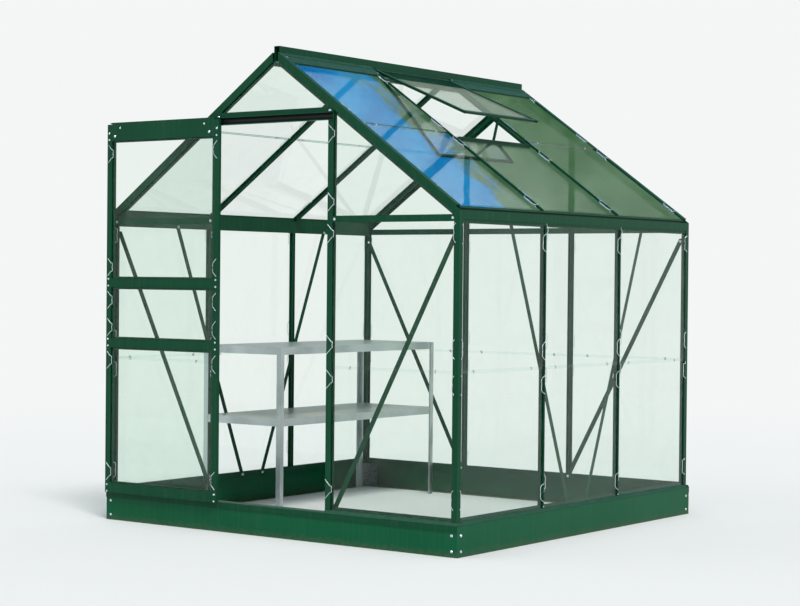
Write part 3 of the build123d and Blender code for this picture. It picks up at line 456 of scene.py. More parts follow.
class Edge(Enum):
    """What a pane's long edge lies on: a bar between panes, a corner post or rafter, a door jamb or a stile.

    The numbers are millimetres across the edge: where a clip's ends hook, where the metal ends and the
    glass starts, and where the clip presses on the glass.
    """

    BAR = (0.0, 4.0, 19.0)
    POST = (-7.0, 0.0, 6.0)
    JAMB = (-25.5, 0.0, 4.0)
    STILE = (-20.0, 0.0, 4.0)

    def __init__(self, hook: float, rim: float, press: float) -> None:
        """Keeps the three places in metres.

        Args:
            hook: Where a clip's ends hook.
            rim: Where the glass starts.
            press: Where the clip presses.
        """
        self.hook = hook * MM
        self.rim = rim * MM
        self.press = press * MM


@dataclass(frozen=True)
class PaneEdge:
    """One long edge of one pane, which two wire clips hold."""

    face: Face
    place: float
    side: int
    foot: float
    head: float
    kind: Edge
    lean: float = 0.0
    foot_gap: float = 98 * MM
    head_gap: float = 57 * MM
    stagger: float = 21 * MM

    def clip_places(self) -> list[float]:
        """Returns how high up the face the clips stand. On a bar, those of two neighbours are staggered."""
        shift = self.stagger * self.side if self.kind is Edge.BAR else 0.0
        return [self.head - self.head_gap + shift, self.foot + self.foot_gap + shift]

    def glass_at(self, v: float) -> float:
        """Returns how far out the pane is at height v. A lapped pane leans out towards its foot."""
        return -PANE_SETBACK + self.lean * (self.head - v) / (self.head - self.foot)


def carry(mesh: Mesh, label: str, vectors: list[Vector]) -> None:
    """Gives each point of a mesh a vector.

    Args:
        mesh: The mesh.
        label: The vectors' name, which a tree reads.
        vectors: One for each point.
    """
    attribute = mesh.attributes.new(label, "FLOAT_VECTOR", "POINT")
    for i, vector in enumerate(vectors):
        attribute.data[i].vector = vector


def lines_mesh(name: str, lines: list[list[Vector]]) -> Mesh:
    """Makes a mesh of bare edges.

    Args:
        name: The mesh's name.
        lines: The points of each line.

    Returns:
        The mesh.
    """
    points: list[Vector] = []
    edges: list[tuple[int, int]] = []
    for line in lines:
        first = len(points)
        points.extend(line)
        edges.extend((first + i, first + i + 1) for i in range(len(line) - 1))
    mesh = bpy.data.meshes.new(name)
    mesh.from_pydata(points, edges, [])
    return mesh


def sites_mesh(name: str, sites: list[Site]) -> Mesh:
    """Makes a mesh of bare points that carry a turn.

    Args:
        name: The mesh's name.
        sites: Where the points are, and what they stand on.

    Returns:
        The mesh.
    """
    mesh = bpy.data.meshes.new(name)
    mesh.from_pydata([face.at(u, v, n) for face, u, v, n in sites], [], [])
    carry(mesh, "turn", [face.turn() for face, *_place in sites])
    return mesh


def lathe(profile: list[tuple[float, float]], sides: int) -> Shell:
    """Turns a profile about Z into a closed shell.

    Args:
        profile: Radius and height in millimetres, from the lowest ring to the highest.
        sides: How many faces go round.

    Returns:
        The points in metres and the faces.
    """
    turns = [math.tau * i / sides for i in range(sides)]
    points = [Vector((r * math.cos(turn), r * math.sin(turn), z)) * MM for r, z in profile for turn in turns]
    last = (len(profile) - 1) * sides
    faces: list[tuple[int, ...]] = [tuple(reversed(range(sides)))]
    for low in range(0, last, sides):
        for i in range(sides):
            j = (i + 1) % sides
            faces.append((low + i, low + j, low + sides + j, low + sides + i))
    faces.append(tuple(range(last, last + sides)))
    return points, faces


def shells_mesh(name: str, shells: list[Shell]) -> Mesh:
    """Joins closed shells into one mesh.

    Args:
        name: The mesh's name.
        shells: The points and faces of each.

    Returns:
        The mesh.
    """
    points: list[Vector] = []
    faces: list[tuple[int, ...]] = []
    for shell_points, shell_faces in shells:
        first = len(points)
        points.extend(shell_points)
        faces.extend(tuple(first + i for i in face) for face in shell_faces)
    mesh = bpy.data.meshes.new(name)
    mesh.from_pydata(points, [], faces)
    return mesh


def add_object(name: str, mesh: Mesh) -> Piece:
    """Adds a mesh to the scene.

    Args:
        name: The object's name.
        mesh: Its mesh.

    Returns:
        The object.
    """
    piece = bpy.data.objects.new(name, mesh)
    bpy.context.scene.collection.objects.link(piece)
    return piece


def geometry_tree(name: str, sockets: dict[str, str]) -> tuple[Tree, Adder, Node]:
    """Starts a Geometry Nodes tree.

    Args:
        name: The tree's name.
        sockets: The type of each named input, after the geometry itself.

    Returns:
        The tree, what adds nodes to it, and its Group Input node.
    """
    tree = bpy.data.node_groups.new(name, "GeometryNodeTree")
    tree.interface.new_socket("Geometry", in_out="INPUT", socket_type="NodeSocketGeometry")
    for label, kind in sockets.items():
        tree.interface.new_socket(label, in_out="INPUT", socket_type=kind)
    tree.interface.new_socket("Geometry", in_out="OUTPUT", socket_type="NodeSocketGeometry")
    add = partial(add_node, tree)
    return tree, add, add("NodeGroupInput")


def close_tree(add: Adder, shape: Node, finish: Socket) -> None:
    """Ends a tree in Realize Instances and Set Material.

    Args:
        add: Adds nodes to the tree.
        shape: The geometry so far.
        finish: The material input.
    """
    real = add("GeometryNodeRealizeInstances", {"Geometry": shape})
    dressed = add("GeometryNodeSetMaterial", {"Geometry": real, "Material": finish})
    add("NodeGroupOutput", {"Geometry": dressed})


def wire_tree() -> Tree:
    """Returns a tree that turns bare edges into bent round wire."""
    tree, add, given = geometry_tree(
        "bent_wire",
        {"Wire Radius": "NodeSocketFloat", "Bend Radius": "NodeSocketFloat", "Finish": "NodeSocketMaterial"},
    )
    line = add("GeometryNodeMeshToCurve", {"Mesh": given})
    bent = add(
        "GeometryNodeFilletCurve",
        {"Curve": line, "Count": 3, "Radius": given.outputs["Bend Radius"], "Limit Radius": True},
        mode="POLY",
    )
    ring = add("GeometryNodeCurvePrimitiveCircle", {"Resolution": 7, "Radius": given.outputs["Wire Radius"]})
    tube = add("GeometryNodeCurveToMesh", {"Curve": bent, "Profile Curve": ring, "Fill Caps": True})
    smooth = add("GeometryNodeSetShadeSmooth", {"Geometry": tube, "Shade Smooth": True})
    close_tree(add, smooth, given.outputs["Finish"])
    return tree


def parts_tree() -> Tree:
    """Returns a tree that sets a small part at each point, turned as its "turn" says and spun at random."""
    tree, add, given = geometry_tree(
        "set_parts",
        {
            "Part": "NodeSocketObject",
            "Most Spin": "NodeSocketFloat",
            "Seed": "NodeSocketInt",
            "Finish": "NodeSocketMaterial",
        },
    )
    part = add("GeometryNodeObjectInfo", {"Object": given.outputs["Part"], "As Instance": True})
    turn = add("GeometryNodeInputNamedAttribute", {"Name": "turn"}, data_type="FLOAT_VECTOR")
    euler = add("FunctionNodeEulerToRotation", (turn,))
    angle = add(
        "FunctionNodeRandomValue",
        {"Max": given.outputs["Most Spin"], "Seed": given.outputs["Seed"]},
        data_type="FLOAT",
    )
    spin = add("FunctionNodeAxisAngleToRotation", {"Axis": (0.0, 0.0, 1.0), "Angle": angle})
    both = add("FunctionNodeRotateRotation", {"Rotation": euler, "Rotate By": spin}, rotation_space="LOCAL")
    placed = add(
        "GeometryNodeInstanceOnPoints",
        {"Points": given, "Instance": part.outputs["Geometry"], "Rotation": both},
    )
    close_tree(add, placed, given.outputs["Finish"])
    return tree


def strip_tree() -> Tree:
    """Returns a tree that lays a thin flat strip along bare edges, square to each point's "facing"."""
    tree, add, given = geometry_tree(
        "flat_strip",
        {"Width": "NodeSocketFloat", "Thickness": "NodeSocketFloat", "Finish": "NodeSocketMaterial"},
    )
    line = add("GeometryNodeMeshToCurve", {"Mesh": given})
    facing = add("GeometryNodeInputNamedAttribute", {"Name": "facing"}, data_type="FLOAT_VECTOR")
    set_up = add("GeometryNodeSetCurveNormal", {"Curve": line, "Normal": facing}, mode="FREE")
    section = add(
        "GeometryNodeCurvePrimitiveQuadrilateral",
        {"Width": given.outputs["Thickness"], "Height": given.outputs["Width"]},
        mode="RECTANGLE",
    )
    laid = add("GeometryNodeCurveToMesh", {"Curve": set_up, "Profile Curve": section, "Fill Caps": True})
    close_tree(add, laid, given.outputs["Finish"])
    return tree


def grow(name: str, mesh: Mesh, tree: Tree, inputs: dict[str, object], body: Body) -> None:
    """Runs a tree on a mesh, keeps the result as plain mesh and joins it to a body.

    Args:
        name: The piece's name.
        mesh: What the tree starts from.
        tree: The Geometry Nodes tree.
        inputs: The value of each named input.
        body: What the piece moves with.
    """
    piece = add_object(name, mesh)
    modifier = piece.modifiers.new("shape", "NODES")
    modifier.node_group = tree
    for item in tree.interface.items_tree:
        if item.item_type == "SOCKET" and item.in_out == "INPUT" and item.name in inputs:
            modifier[item.identifier] = inputs[item.name]
    depsgraph = bpy.context.evaluated_depsgraph_get()
    shape = bpy.data.meshes.new_from_object(piece.evaluated_get(depsgraph), depsgraph=depsgraph)
    piece.modifiers.remove(modifier)
    piece.data = shape
    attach(piece, body.value)
    log.info("%s: %d faces", name, len(shape.polygons))


@dataclass
class Finishes:
    """Every finish of the greenhouse, each built once."""

    solid: dict[Slot, Material] = field(init=False)
    panes: dict[str, Material] = field(init=False)
    wire: Material = field(init=False)
    bolt: Material = field(init=False)
    rubber: Material = field(init=False)

    def __post_init__(self) -> None:
        """Builds the materials."""
        powder_coat = PaintedMetal(
            "polyester_powder_coat", colour="#08422a", faded="#0d4c33",
            roughness=0.33, peel_mm=3.0, dust_share=0.36, splash_height=0.10,
        )
        coil_coat = PaintedMetal(
            "coil_coated_steel", colour="#065334", faded="#0b5d3d",
            roughness=0.30, peel_mm=4.0, dust_share=0.30, splash_height=0.075,
        )
        self.solid = {
            Slot.FRAME: powder_coat.build(),
            Slot.BASE: coil_coat.build(),
            Slot.ZINC: GalvanisedSteel().build(),
            Slot.ALUMINIUM: MillAluminium().build(),
            Slot.NYLON: MouldedNylon().build(),
        }
        self.wire = BrightMetal("spring_wire", "#f4f7f6", "#c2c8c6", roughness=0.34, speck_mm=12.0).build()
        self.bolt = BrightMetal("bright_bolt", "#e8ebea", "#a4aaa8", roughness=0.28, speck_mm=6.0).build()
        self.rubber = GlazingRubber().build()
        vent_out = (math.sin(VENT_TILT), 0.0, math.cos(VENT_TILT))
        # The right slope mirrors the sky strongly, so that it shows against the pale background
        self.panes = {
            "side": HorticulturalGlass("side_wall_glass", RIGHT.out).build(),
            "gable": HorticulturalGlass("gable_glass", REAR.out).build(),
            "right_slope": HorticulturalGlass("right_slope_glass", RIGHT_SLOPE.out, rim_gloss=3.4).build(),
            "left_slope": HorticulturalGlass("left_slope_glass", LEFT_SLOPE.out).build(),
            "vent": HorticulturalGlass("vent_glass_sheet", vent_out).build(),
        }


@dataclass
class CarriedNodes:
    """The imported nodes, dressed by the record's slots."""

    finishes: Finishes
    nodes: dict[str, Piece]

    def pane_kind(self, node: str) -> str:
        """Tells which way a glass node's panes face.

        Args:
            node: The node's name.

        Returns:
            The finish's key.
        """
        if "wall" in node:
            return "side"
        if "roof" in node:
            return "left_slope" if "left" in node else "right_slope"
        return "vent" if "vent" in node else "gable"

    def dress(self, subparts: list[dict]) -> None:
        """Gives each node its material.

        Args:
            subparts: The record's list of nodes and slots.
        """
        for part in subparts:
            name, slot = part["node"], Slot(part["material_slot"])
            if slot is Slot.GLASS:
                material = self.finishes.panes[self.pane_kind(name)]
            else:
                material = self.finishes.solid[slot]
            for place in self.nodes[name].material_slots:
                place.material = material
            log.info("%s: %s", name, material.name)


@dataclass
class Glazing:
    """The panes' edges, with their wire clips and lap clips."""

    finishes: Finishes
    wires: Tree
    parts: Tree
    wall_foot: float = 0.128
    wall_lower_head: float = 0.738
    wall_head: float = 1.336
    gable_head: float = 1.342
    peak_foot: float = 1.318
    peak_head: float = 1.757
    left_peak_head: float = 1.734
    roof_foot: float = 0.017
    roof_lower_head: float = 0.627
    roof_head: float = 1.137
    vent_bay_head: float = 0.57
    lap: float = 0.012
    door_panes: tuple[tuple[float, float], ...] = ((0.171, 0.780), (0.821, 1.050), (1.091, 1.707))
    door_rims: tuple[float, float] = (-0.919, -0.308)
    door_foot_gap: float = 50 * MM
    wire_radius: float = 1.3 * MM
    wire_bend: float = 3.5 * MM
    clip_half: float = 39 * MM
    press_half: float = 5 * MM
    kink: float = 3.5 * MM
    lap_clip_inset: float = 0.09
    lap_clip_half: float = 4 * MM
    lap_clip_sheet: float = 0.35 * MM

    def bay_edges(
        self, face: Face, foot: float, head: float, lean: float, bays: tuple[int, ...] = (0, 1, 2)
    ) -> list[PaneEdge]:
        """Returns the edges of one row of panes in a three-bay face.

        Args:
            face: The wall, gable or slope.
            foot: The panes' lower end.
            head: Their upper end.
            lean: How far their foot stands out, lapped over another pane.
            bays: Which of the three bays hold a pane.

        Returns:
            Two edges for each pane.
        """
        edges = (
            ((-POST_EDGE, 1, Edge.POST), (-BAR_PLACE, -1, Edge.BAR)),
            ((-BAR_PLACE, 1, Edge.BAR), (BAR_PLACE, -1, Edge.BAR)),
            ((BAR_PLACE, 1, Edge.BAR), (POST_EDGE, -1, Edge.POST)),
        )
        return [
            PaneEdge(face, place, side, foot, head, kind, lean)
            for bay in bays
            for place, side, kind in edges[bay]
        ]

    def jamb_edges(self, foot: float, head: float, lean: float) -> list[PaneEdge]:
        """Returns the edges of one row of panes beside the doorway.

        Args:
            foot: The panes' lower end.
            head: Their upper end.
            lean: How far their foot stands out.

        Returns:
            Two edges for each pane.
        """
        edges = []
        for way, jamb in ((-1, LEFT_JAMB_OUTER), (1, JAMB_OUTER)):
            edges.append(PaneEdge(FRONT, way * jamb, way, foot, head, Edge.JAMB, lean))
            edges.append(PaneEdge(FRONT, way * POST_EDGE, -way, foot, head, Edge.POST, lean))
        return edges

    def house_edges(self) -> list[PaneEdge]:
        """Returns every clipped edge of the house."""
        edges = []
        upper_foot = self.wall_lower_head - self.lap
        for face in (RIGHT, LEFT, REAR):
            head = self.gable_head if face is REAR else self.wall_head
            edges += self.bay_edges(face, self.wall_foot, self.wall_lower_head, 0.0)
            edges += self.bay_edges(face, upper_foot, head, LAP_LEAN)
        edges += self.jamb_edges(self.wall_foot, self.wall_lower_head, 0.0)
        edges += self.jamb_edges(upper_foot, self.gable_head, LAP_LEAN)
        upper_foot = self.roof_lower_head - self.lap
        edges += self.bay_edges(LEFT_SLOPE, self.roof_foot, self.roof_lower_head, 0.0)
        edges += self.bay_edges(LEFT_SLOPE, upper_foot, self.roof_head, LAP_LEAN)
        edges += self.bay_edges(RIGHT_SLOPE, self.roof_foot, self.roof_lower_head, 0.0, (0, 2))
        edges += self.bay_edges(RIGHT_SLOPE, self.roof_foot, self.vent_bay_head, 0.0, (1,))
        edges += self.bay_edges(RIGHT_SLOPE, upper_foot, self.roof_head, LAP_LEAN, (0, 2))
        # Above the crossbars the panes reach the rafters
        peaks = ((-1, LEFT_JAMB_OUTER, self.left_peak_head), (1, JAMB_OUTER, self.peak_head))
        for way, jamb, head in peaks:
            edges.append(PaneEdge(FRONT, way * jamb, way, self.peak_foot, head, Edge.JAMB))
            for side in (-way, way):
                edges.append(PaneEdge(REAR, way * BAR_PLACE, side, self.peak_foot, self.peak_head, Edge.BAR))
        return edges

    def door_edges(self) -> list[PaneEdge]:
        """Returns the clipped edges of the door's panes."""
        return [
            PaneEdge(DOOR, rim, side, foot, head, Edge.STILE, foot_gap=self.door_foot_gap)
            for foot, head in self.door_panes
            for rim, side in zip(self.door_rims, (1, -1))
        ]

    def clip_line(self, edge: PaneEdge, middle: float) -> list[Vector]:
        """Returns the points of one W-shaped wire clip.

        Args:
            edge: The pane's edge that it holds.
            middle: How high up the face its middle is.

        Returns:
            The wire's corners, from its lower end to its upper one.
        """
        kind = edge.kind
        over = self.wire_radius + 0.1 * MM
        glass = edge.glass_at(middle) + over
        # Each leg slants in from its hook, drops off the rim onto the glass and runs to where it presses
        rim_leg = max(self.clip_half - (kind.rim - 1 * MM - kind.hook), 12 * MM)
        glass_leg = rim_leg - 2.5 * MM
        press_leg = max(glass_leg - 0.9 * (kind.press - kind.rim - 3 * MM), 9 * MM)
        half = [
            (self.clip_half, kind.hook, over),
            (rim_leg, kind.rim - 1.2 * MM, over),
            (glass_leg, kind.rim + 2.6 * MM, glass),
            (press_leg, kind.press, glass),
            (self.press_half, kind.press, glass),
        ]
        points = [(-along, across, out) for along, across, out in half]
        points.append((0.0, kind.press - self.kink, glass))
        points += reversed(half)
        return [
            edge.face.at(edge.place + edge.side * across, middle + along, out)
            for along, across, out in points
        ]

    def build_clips(self, edges: list[PaneEdge], body: Body) -> None:
        """Builds the wire clips of one body.

        Args:
            edges: The pane edges that they hold.
            body: What they move with.
        """
        name = f"{body.value}_wire_clips"
        lines = [self.clip_line(edge, v) for edge in edges for v in edge.clip_places()]
        inputs = {
            "Wire Radius": self.wire_radius, "Bend Radius": self.wire_bend, "Finish": self.finishes.wire,
        }
        grow(name, lines_mesh(name, lines), self.wires, inputs, body)

    def lap_sites(self) -> list[Site]:
        """Returns where the lap clips go: two on every lapped pane's foot."""
        wall_foot = self.wall_lower_head - self.lap
        roof_foot = self.roof_lower_head - self.lap
        left, middle, right = (-0.928, -0.3185), (-0.3065, 0.3065), (0.3185, 0.928)
        left_of_door = (-0.928, -0.3515)
        rows = [(face, wall_foot, (left, middle, right)) for face in (RIGHT, LEFT, REAR)]
        rows.append((FRONT, wall_foot, (left_of_door, right)))
        rows.append((LEFT_SLOPE, roof_foot, (left, middle, right)))
        rows.append((RIGHT_SLOPE, roof_foot, (left, right)))
        return [
            (face, u, foot, -PANE_SETBACK)
            for face, foot, panes in rows
            for start, end in panes
            for u in (start + self.lap_clip_inset, end - self.lap_clip_inset)
        ]

    def build_lap_clips(self) -> None:
        """Builds the S-shaped metal clips that carry the upper panes on the lower ones."""
        # Height and reach: hooked over the lower pane's head, down between the panes, up round the upper foot
        path = [
            (self.lap - 6 * MM, -3.2 * MM),
            (self.lap + 0.5 * MM, -3.2 * MM),
            (self.lap + 0.5 * MM, 0.0),
            (-0.5 * MM, 0.15 * MM),
            (-0.5 * MM, 3.5 * MM),
            (9 * MM, 3.6 * MM),
        ]
        points = [Vector((u, v, n)) for v, n in path for u in (-self.lap_clip_half, self.lap_clip_half)]
        faces = [(i, i + 1, i + 3, i + 2) for i in range(0, len(points) - 2, 2)]
        pattern = add_object("lap_clip", shells_mesh("lap_clip", [(points, faces)]))
        solid = pattern.modifiers.new("sheet", "SOLIDIFY")
        solid.thickness = self.lap_clip_sheet
        solid.offset = 0.0
        name = "house_lap_clips"
        inputs = {"Part": pattern, "Most Spin": 0.0, "Seed": 3, "Finish": self.finishes.bolt}
        grow(name, sites_mesh(name, self.lap_sites()), self.parts, inputs, Body.HOUSE)
        bpy.data.objects.remove(pattern)


@dataclass
class Seals:
    """Flat rubber strips: behind the panes, and the black seal along the back of the door's track, which also
    paints the shade in the track's recess.
    """

    finishes: Finishes
    strips: Tree
    seat_inset: float = 5 * MM
    seat_depth: float = -8.15 * MM
    end_gap: float = 2 * MM
    seat_width: float = 3 * MM
    seat_thickness: float = 0.25 * MM
    track_span: tuple[float, float] = (-0.945, 0.314)
    track_height: float = 1.7725
    track_gap: float = 2.5 * MM
    track_width: float = 27 * MM
    track_thickness: float = 0.8 * MM

    def lay(
        self, name: str, runs: list[tuple[Site, ...]], width: float, thickness: float, body: Body
    ) -> None:
        """Lays strips of one size.

        Args:
            name: The piece's name.
            runs: Where each strip starts and ends.
            width: The strips' width.
            thickness: The strips' thickness.
            body: What they move with.
        """
        mesh = lines_mesh(name, [[face.at(u, v, n) for face, u, v, n in run] for run in runs])
        carry(mesh, "facing", [face.axes()[2] for run in runs for face, *_place in run])
        inputs = {"Width": width, "Thickness": thickness, "Finish": self.finishes.rubber}
        grow(name, mesh, self.strips, inputs, body)

    def build_seats(self, edges: list[PaneEdge], body: Body) -> None:
        """Builds the strips between the panes and their seats.

        Args:
            edges: The pane edges.
            body: What they move with.
        """
        runs = []
        for edge in edges:
            u = edge.place + edge.side * (edge.kind.rim + self.seat_inset)
            ends = (edge.foot + self.end_gap, edge.head - self.end_gap)
            runs.append(tuple((edge.face, u, v, self.seat_depth) for v in ends))
        self.lay(f"{body.value}_rubber_strips", runs, self.seat_width, self.seat_thickness, body)

    def build_track_seal_and_shade(self) -> None:
        """Builds the track's black seal, which also stands in for the shade in the track's recess (painted
        shade).
        """
        # A black strip along the back of the track: a rubber seal, and also painted shade for the dark recess
        # under the track's hood
        run = tuple((FRONT, u, self.track_height, self.track_gap) for u in self.track_span)
        self.lay("house_track_seal", [run], self.track_width, self.track_thickness, Body.HOUSE)


class Head(Enum):
    """What shows of a fastener."""

    CUP = "cup"
    HEX = "hex"
    PAN = "pan"
    RIVET = "rivet"


@dataclass
class Fasteners:
    """Bolts and nuts that show from outside and inside."""

    finishes: Finishes
    parts: Tree
    base_bolt: float = 0.938
    base_heights: tuple[float, float] = (0.024, 0.087)
    crossbar_height: float = 1.345
    crossbar_ends: tuple[float, float] = (0.326, 0.922)
    left_jamb_bolt: float = -0.359
    header_bolts: tuple[tuple[float, float], ...] = ((-0.3155, 1.791), (0.2965, 1.795))
    bar_foot_rivet: float = 0.146
    brace_foot: float = 0.138
    wall_brace: tuple[float, float] = (0.0746, 0.547)
    wall_brace_top: float = 1.3325
    gable_brace: tuple[float, float] = (0.3187, 0.925)
    gable_brace_top: float = 1.291
    left_jamb_brace: float = 0.3513
    upstand_back: float = 29 * MM
    brace_back: float = 27 * MM
    stile_bolts: tuple[float, float] = (-0.935, -0.292)
    stile_heights: tuple[float, ...] = (0.133, 0.162, 0.788, 0.818, 1.058, 1.088, 1.712, 1.741)
    hanger_bolts: tuple[float, float] = (-0.901, -0.336)
    hanger_height: float = 1.728
    carriage_bolts: tuple[float, float] = (-0.868, -0.364)
    carriage_height: float = 1.764

    def pattern(self, head: Head) -> Piece:
        """Makes one fastener, standing on the origin along Z.

        Args:
            head: What shows of it.

        Returns:
            The fastener.
        """
        washer = lathe([(6.6, -0.05), (6.6, 0.9), (6.2, 1.2), (3.0, 1.2)], 14)
        nut = lathe([(4.6, 1.1), (5.6, 1.5), (5.6, 4.6), (4.7, 5.1)], 6)
        thread = lathe([(2.9, 4.9), (2.9, 6.6), (2.5, 7.0)], 8)
        shells = {
            Head.CUP: [lathe([(6.2, -0.05), (6.2, 0.7), (5.3, 1.9), (3.4, 2.8), (1.2, 3.2)], 12)],
            Head.HEX: [washer, nut, thread],
            Head.PAN: [lathe([(4.6, -0.05), (4.6, 1.4), (3.8, 2.3), (1.5, 2.7)], 10)],
            Head.RIVET: [lathe([(3.5, -0.05), (3.5, 1.0), (2.6, 1.9), (1.0, 2.2)], 10)],
        }
        name = f"{head.value}_head"
        return add_object(name, shells_mesh(name, shells[head]))

    def brace_nuts(self) -> list[Site]:
        """Returns where the nuts inside the house go: at both ends of each brace."""
        nuts = []
        low, high = self.wall_brace
        jamb, corner = self.gable_brace
        front, rear = FRONT.inside(), REAR.inside()
        for way in (-1, 1):
            for face in (LEFT.inside(), RIGHT.inside()):
                nuts.append((face, way * low, self.brace_foot, self.upstand_back))
                nuts.append((face, way * high, self.wall_brace_top, self.upstand_back))
            nuts.append((rear, way * jamb, self.brace_foot, self.upstand_back))
            nuts.append((rear, way * corner, self.gable_brace_top, self.brace_back))
            nuts.append((front, way * corner, self.gable_brace_top, self.brace_back))
        nuts.append((front, -jamb, self.brace_foot, self.brace_back))
        nuts.append((front, self.left_jamb_brace, self.brace_foot, self.brace_back))
        return nuts

    def house_sites(self) -> dict[Head, list[Site]]:
        """Returns where each of the house's fasteners goes."""
        ways = (-1, 1)
        base_out = BASE_HALF - FRAME_HALF
        cups = [
            (face, way * self.base_bolt, v, base_out)
            for face in (FRONT, REAR, LEFT, RIGHT)
            for way in ways
            for v in self.base_heights
        ]
        inner, outer = self.crossbar_ends
        cups += [(REAR, way * u, self.crossbar_height, 0.0) for way in ways for u in (inner, outer)]
        cups += [(FRONT, u, self.crossbar_height, 0.0) for u in (-outer, self.left_jamb_bolt, inner, outer)]
        cups += [(FRONT, u, v, 0.0) for u, v in self.header_bolts]
        rivets = [
            (face, way * BAR_PLACE, self.bar_foot_rivet, 0.0) for face in (REAR, LEFT, RIGHT) for way in ways
        ]
        return {Head.CUP: cups, Head.HEX: self.brace_nuts(), Head.RIVET: rivets}

    def door_sites(self) -> dict[Head, list[Site]]:
        """Returns where each of the door's fasteners goes."""
        pans = [(DOOR, u, v, 0.0) for u in self.stile_bolts for v in self.stile_heights]
        pans += [(DOOR, u, self.carriage_height, 0.0) for u in self.carriage_bolts]
        cups = [(DOOR, u, self.hanger_height, 0.0) for u in self.hanger_bolts]
        return {Head.PAN: pans, Head.CUP: cups}

    def build(self, body: Body, sites: dict[Head, list[Site]]) -> None:
        """Builds the fasteners of one body.

        Args:
            body: What they move with.
            sites: Where each kind of head goes.
        """
        for head, places in sites.items():
            part = self.pattern(head)
            name = f"{body.value}_{head.value}_bolts"
            inputs = {"Part": part, "Most Spin": math.tau, "Seed": 11, "Finish": self.finishes.bolt}
            grow(name, sites_mesh(name, places), self.parts, inputs, body)
            bpy.data.objects.remove(part)


@dataclass(frozen=True)
class Lamp:
    """A soft distant lamp: its strength, how many degrees wide it is, its colour and where it shines."""

    name: str
    strength: float
    spread: float
    colour: Triple
    aim: Triple

    def build(self) -> None:
        """Adds the lamp."""
        data = bpy.data.lights.new(self.name, "SUN")
        data.energy = self.strength
        data.angle = math.radians(self.spread)
        data.color = self.colour
        lamp = bpy.data.objects.new(self.name, data)
        lamp.rotation_euler = Vector(self.aim).to_track_quat("-Z", "Y").to_euler()
        bpy.context.scene.collection.objects.link(lamp)
        log.info("lamp: %s", self.name)


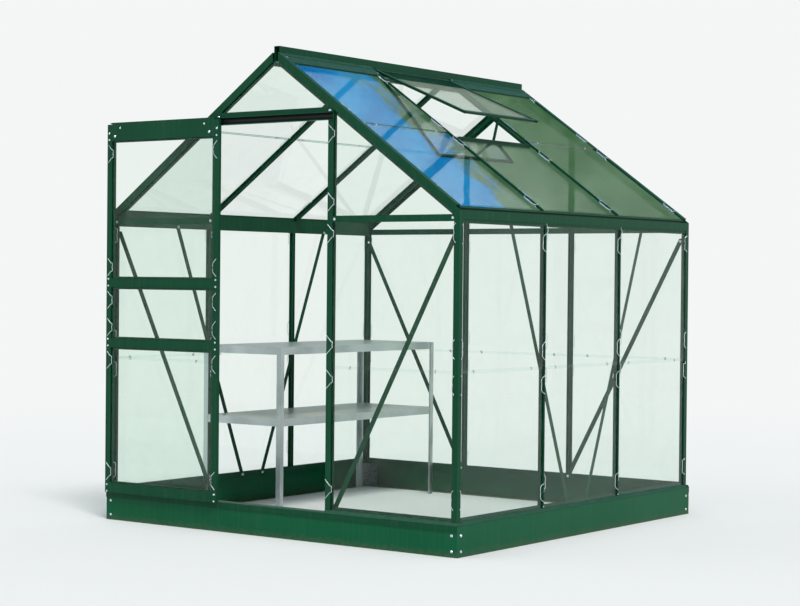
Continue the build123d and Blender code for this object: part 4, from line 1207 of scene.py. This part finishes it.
@dataclass
class Studio:
    """A pale floor, soft lamps and the camera at the photograph's place."""

    place: Triple = (5.3167, -7.281, 1.1026)
    yaw: float = 36.3183
    pitch: float = -0.7249
    roll: float = 0.5484
    focal_pixels: float = 1947.089
    frame_pixels: float = 800.0
    sensor_mm: float = 36.0
    far_clip: float = 200.0
    pane_layers: int = 40
    floor_reach: float = 60.0
    floor_colour: str = "#e9ebea"
    backdrop: str = "#f4f6f6"
    fade_start: float = 2.2
    fade_end: float = 9.0
    soft_light: str = "#eef3f8"
    soft_strength: float = 0.62
    horizon: str = "#eef1f1"
    blues: tuple[str, str] = ("#0a76bd", "#2c98d6")
    greens: tuple[str, str] = ("#3c6340", "#5d8160")
    green_way: Triple = (-0.474, 0.441, -0.775)

    def camera(self) -> None:
        """Adds the camera and makes it the scene's."""
        yaw, pitch, roll = (math.radians(a) for a in (self.yaw, self.pitch, self.roll))
        forward = Vector((-math.sin(yaw) * math.cos(pitch), math.cos(yaw) * math.cos(pitch), math.sin(pitch)))
        level = Vector((math.cos(yaw), math.sin(yaw), 0.0))
        upright = level.cross(forward)
        right = level * math.cos(roll) + upright * math.sin(roll)
        up = upright * math.cos(roll) - level * math.sin(roll)
        data = bpy.data.cameras.new("camera")
        data.sensor_fit = "HORIZONTAL"
        data.sensor_width = self.sensor_mm
        data.lens = self.focal_pixels / self.frame_pixels * self.sensor_mm
        data.clip_end = self.far_clip
        camera = bpy.data.objects.new("camera", data)
        bpy.context.scene.collection.objects.link(camera)
        turned = Matrix((right, up, -forward)).transposed().to_4x4()
        camera.matrix_world = Matrix.Translation(self.place) @ turned
        bpy.context.scene.camera = camera
        log.info("camera: lens %.2f mm", data.lens)

    def floor(self) -> None:
        """Adds the floor, which fades into the background away from the house."""
        ways = ((-1, -1), (1, -1), (1, 1), (-1, 1))
        corners = [Vector((x, y, 0)) * self.floor_reach for x, y in ways]
        floor = add_object("floor", shells_mesh("floor", [(corners, [(0, 1, 2, 3)])]))
        material, add, place = blank_material("studio_floor")
        away = add("ShaderNodeVectorMath", (place,), operation="LENGTH")
        far = add(RANGE, (away, self.fade_start, self.fade_end), interpolation_type="SMOOTHSTEP")
        seen = seen_by(add, ("Is Camera Ray", "Is Glossy Ray", "Is Transmission Ray"))
        share = add(MATH, (seen, far), operation="MULTIPLY")
        near = add("ShaderNodeBsdfDiffuse", {"Color": self.floor_colour})
        beyond = add("ShaderNodeEmission", {"Color": self.backdrop})
        cover = add("ShaderNodeMixShader", (share, near, beyond))
        add("ShaderNodeOutputMaterial", {"Surface": cover})
        floor.data.materials.append(material)

    def mirrored_sky(self, add: Adder) -> Node:
        """Adds the nodes of the sky that glossy rays meet: pale low down and coloured high up.

        Args:
            add: Adds nodes to the world's tree.

        Returns:
            The sky's colour.
        """
        ray = add("ShaderNodeTexCoord").outputs["Generated"]
        height = add("ShaderNodeSeparateXYZ", (ray,)).outputs["Z"]
        high = add(RANGE, (height, 0.10, 0.48), interpolation_type="SMOOTHSTEP")
        # The roof mirrors blue in its front bay and dull green further back, with a ragged edge between them
        across = add("ShaderNodeVectorMath", (ray, self.green_way), operation="DOT_PRODUCT")
        ragged = add(NOISE, {"Vector": ray, "Scale": 40.0, "Detail": 4.0})
        edge = add(MATH, (ragged, 0.02, across), operation="MULTIPLY_ADD")
        dull = add(RANGE, (edge, 0.0865, 0.0935), interpolation_type="SMOOTHSTEP")
        mottle = add(RANGE, (ragged, 0.35, 0.65))
        blue, green = (
            add(MIX, (mottle, deep, pale), data_type="RGBA")
            for deep, pale in (self.blues, self.greens)
        )
        sky = add(MIX, (dull, blue, green), data_type="RGBA")
        return add(MIX, (high, self.horizon, sky), data_type="RGBA")

    def world(self) -> None:
        """Lights the studio from all round, and shows a pale background."""
        world = bpy.data.worlds.new("studio")
        world.use_nodes = True
        world.node_tree.nodes.clear()
        add = partial(add_node, world.node_tree)
        soft = add("ShaderNodeBackground", {"Color": self.soft_light, "Strength": self.soft_strength})
        shown = add("ShaderNodeBackground", {"Color": self.backdrop})
        mirrored = add("ShaderNodeBackground", {"Color": self.mirrored_sky(add)})
        seen = seen_by(add, ("Is Camera Ray", "Is Transmission Ray"))
        plain = add("ShaderNodeMixShader", (seen, soft, shown))
        glossy = seen_by(add, ("Is Glossy Ray",))
        light = add("ShaderNodeMixShader", (glossy, plain, mirrored))
        add("ShaderNodeOutputWorld", {"Surface": light})
        bpy.context.scene.world = world

    def build(self) -> None:
        """Builds the studio, with a high key lamp from the right and a weak fill from the left."""
        scene = bpy.context.scene
        scene.view_settings.view_transform = "Standard"
        scene.cycles.transparent_max_bounces = self.pane_layers
        self.camera()
        self.floor()
        self.world()
        Lamp("key", strength=1.9, spread=18.0, colour=(1.0, 0.985, 0.96), aim=(-0.62, 0.45, -1.0)).build()
        Lamp("fill", strength=0.35, spread=40.0, colour=(0.95, 0.98, 1.0), aim=(0.9, 0.7, -0.6)).build()


def main() -> None:
    """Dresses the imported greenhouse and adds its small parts."""
    logging.basicConfig(level=logging.INFO, format="%(message)s")
    for spare in list(bpy.data.objects):
        bpy.data.objects.remove(spare)
    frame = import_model()
    Studio().build()
    finishes = Finishes()
    CarriedNodes(finishes, frame["nodes"]).dress(frame["record"]["subparts"])
    parts = parts_tree()
    glazing = Glazing(finishes, wire_tree(), parts)
    glazing.build_clips(glazing.house_edges(), Body.HOUSE)
    glazing.build_clips(glazing.door_edges(), Body.DOOR)
    glazing.build_lap_clips()
    seals = Seals(finishes, strip_tree())
    seals.build_seats(glazing.house_edges(), Body.HOUSE)
    seals.build_track_seal_and_shade()
    fasteners = Fasteners(finishes, parts)
    fasteners.build(Body.HOUSE, fasteners.house_sites())
    fasteners.build(Body.DOOR, fasteners.door_sites())


if __name__ == "__main__":
    main()
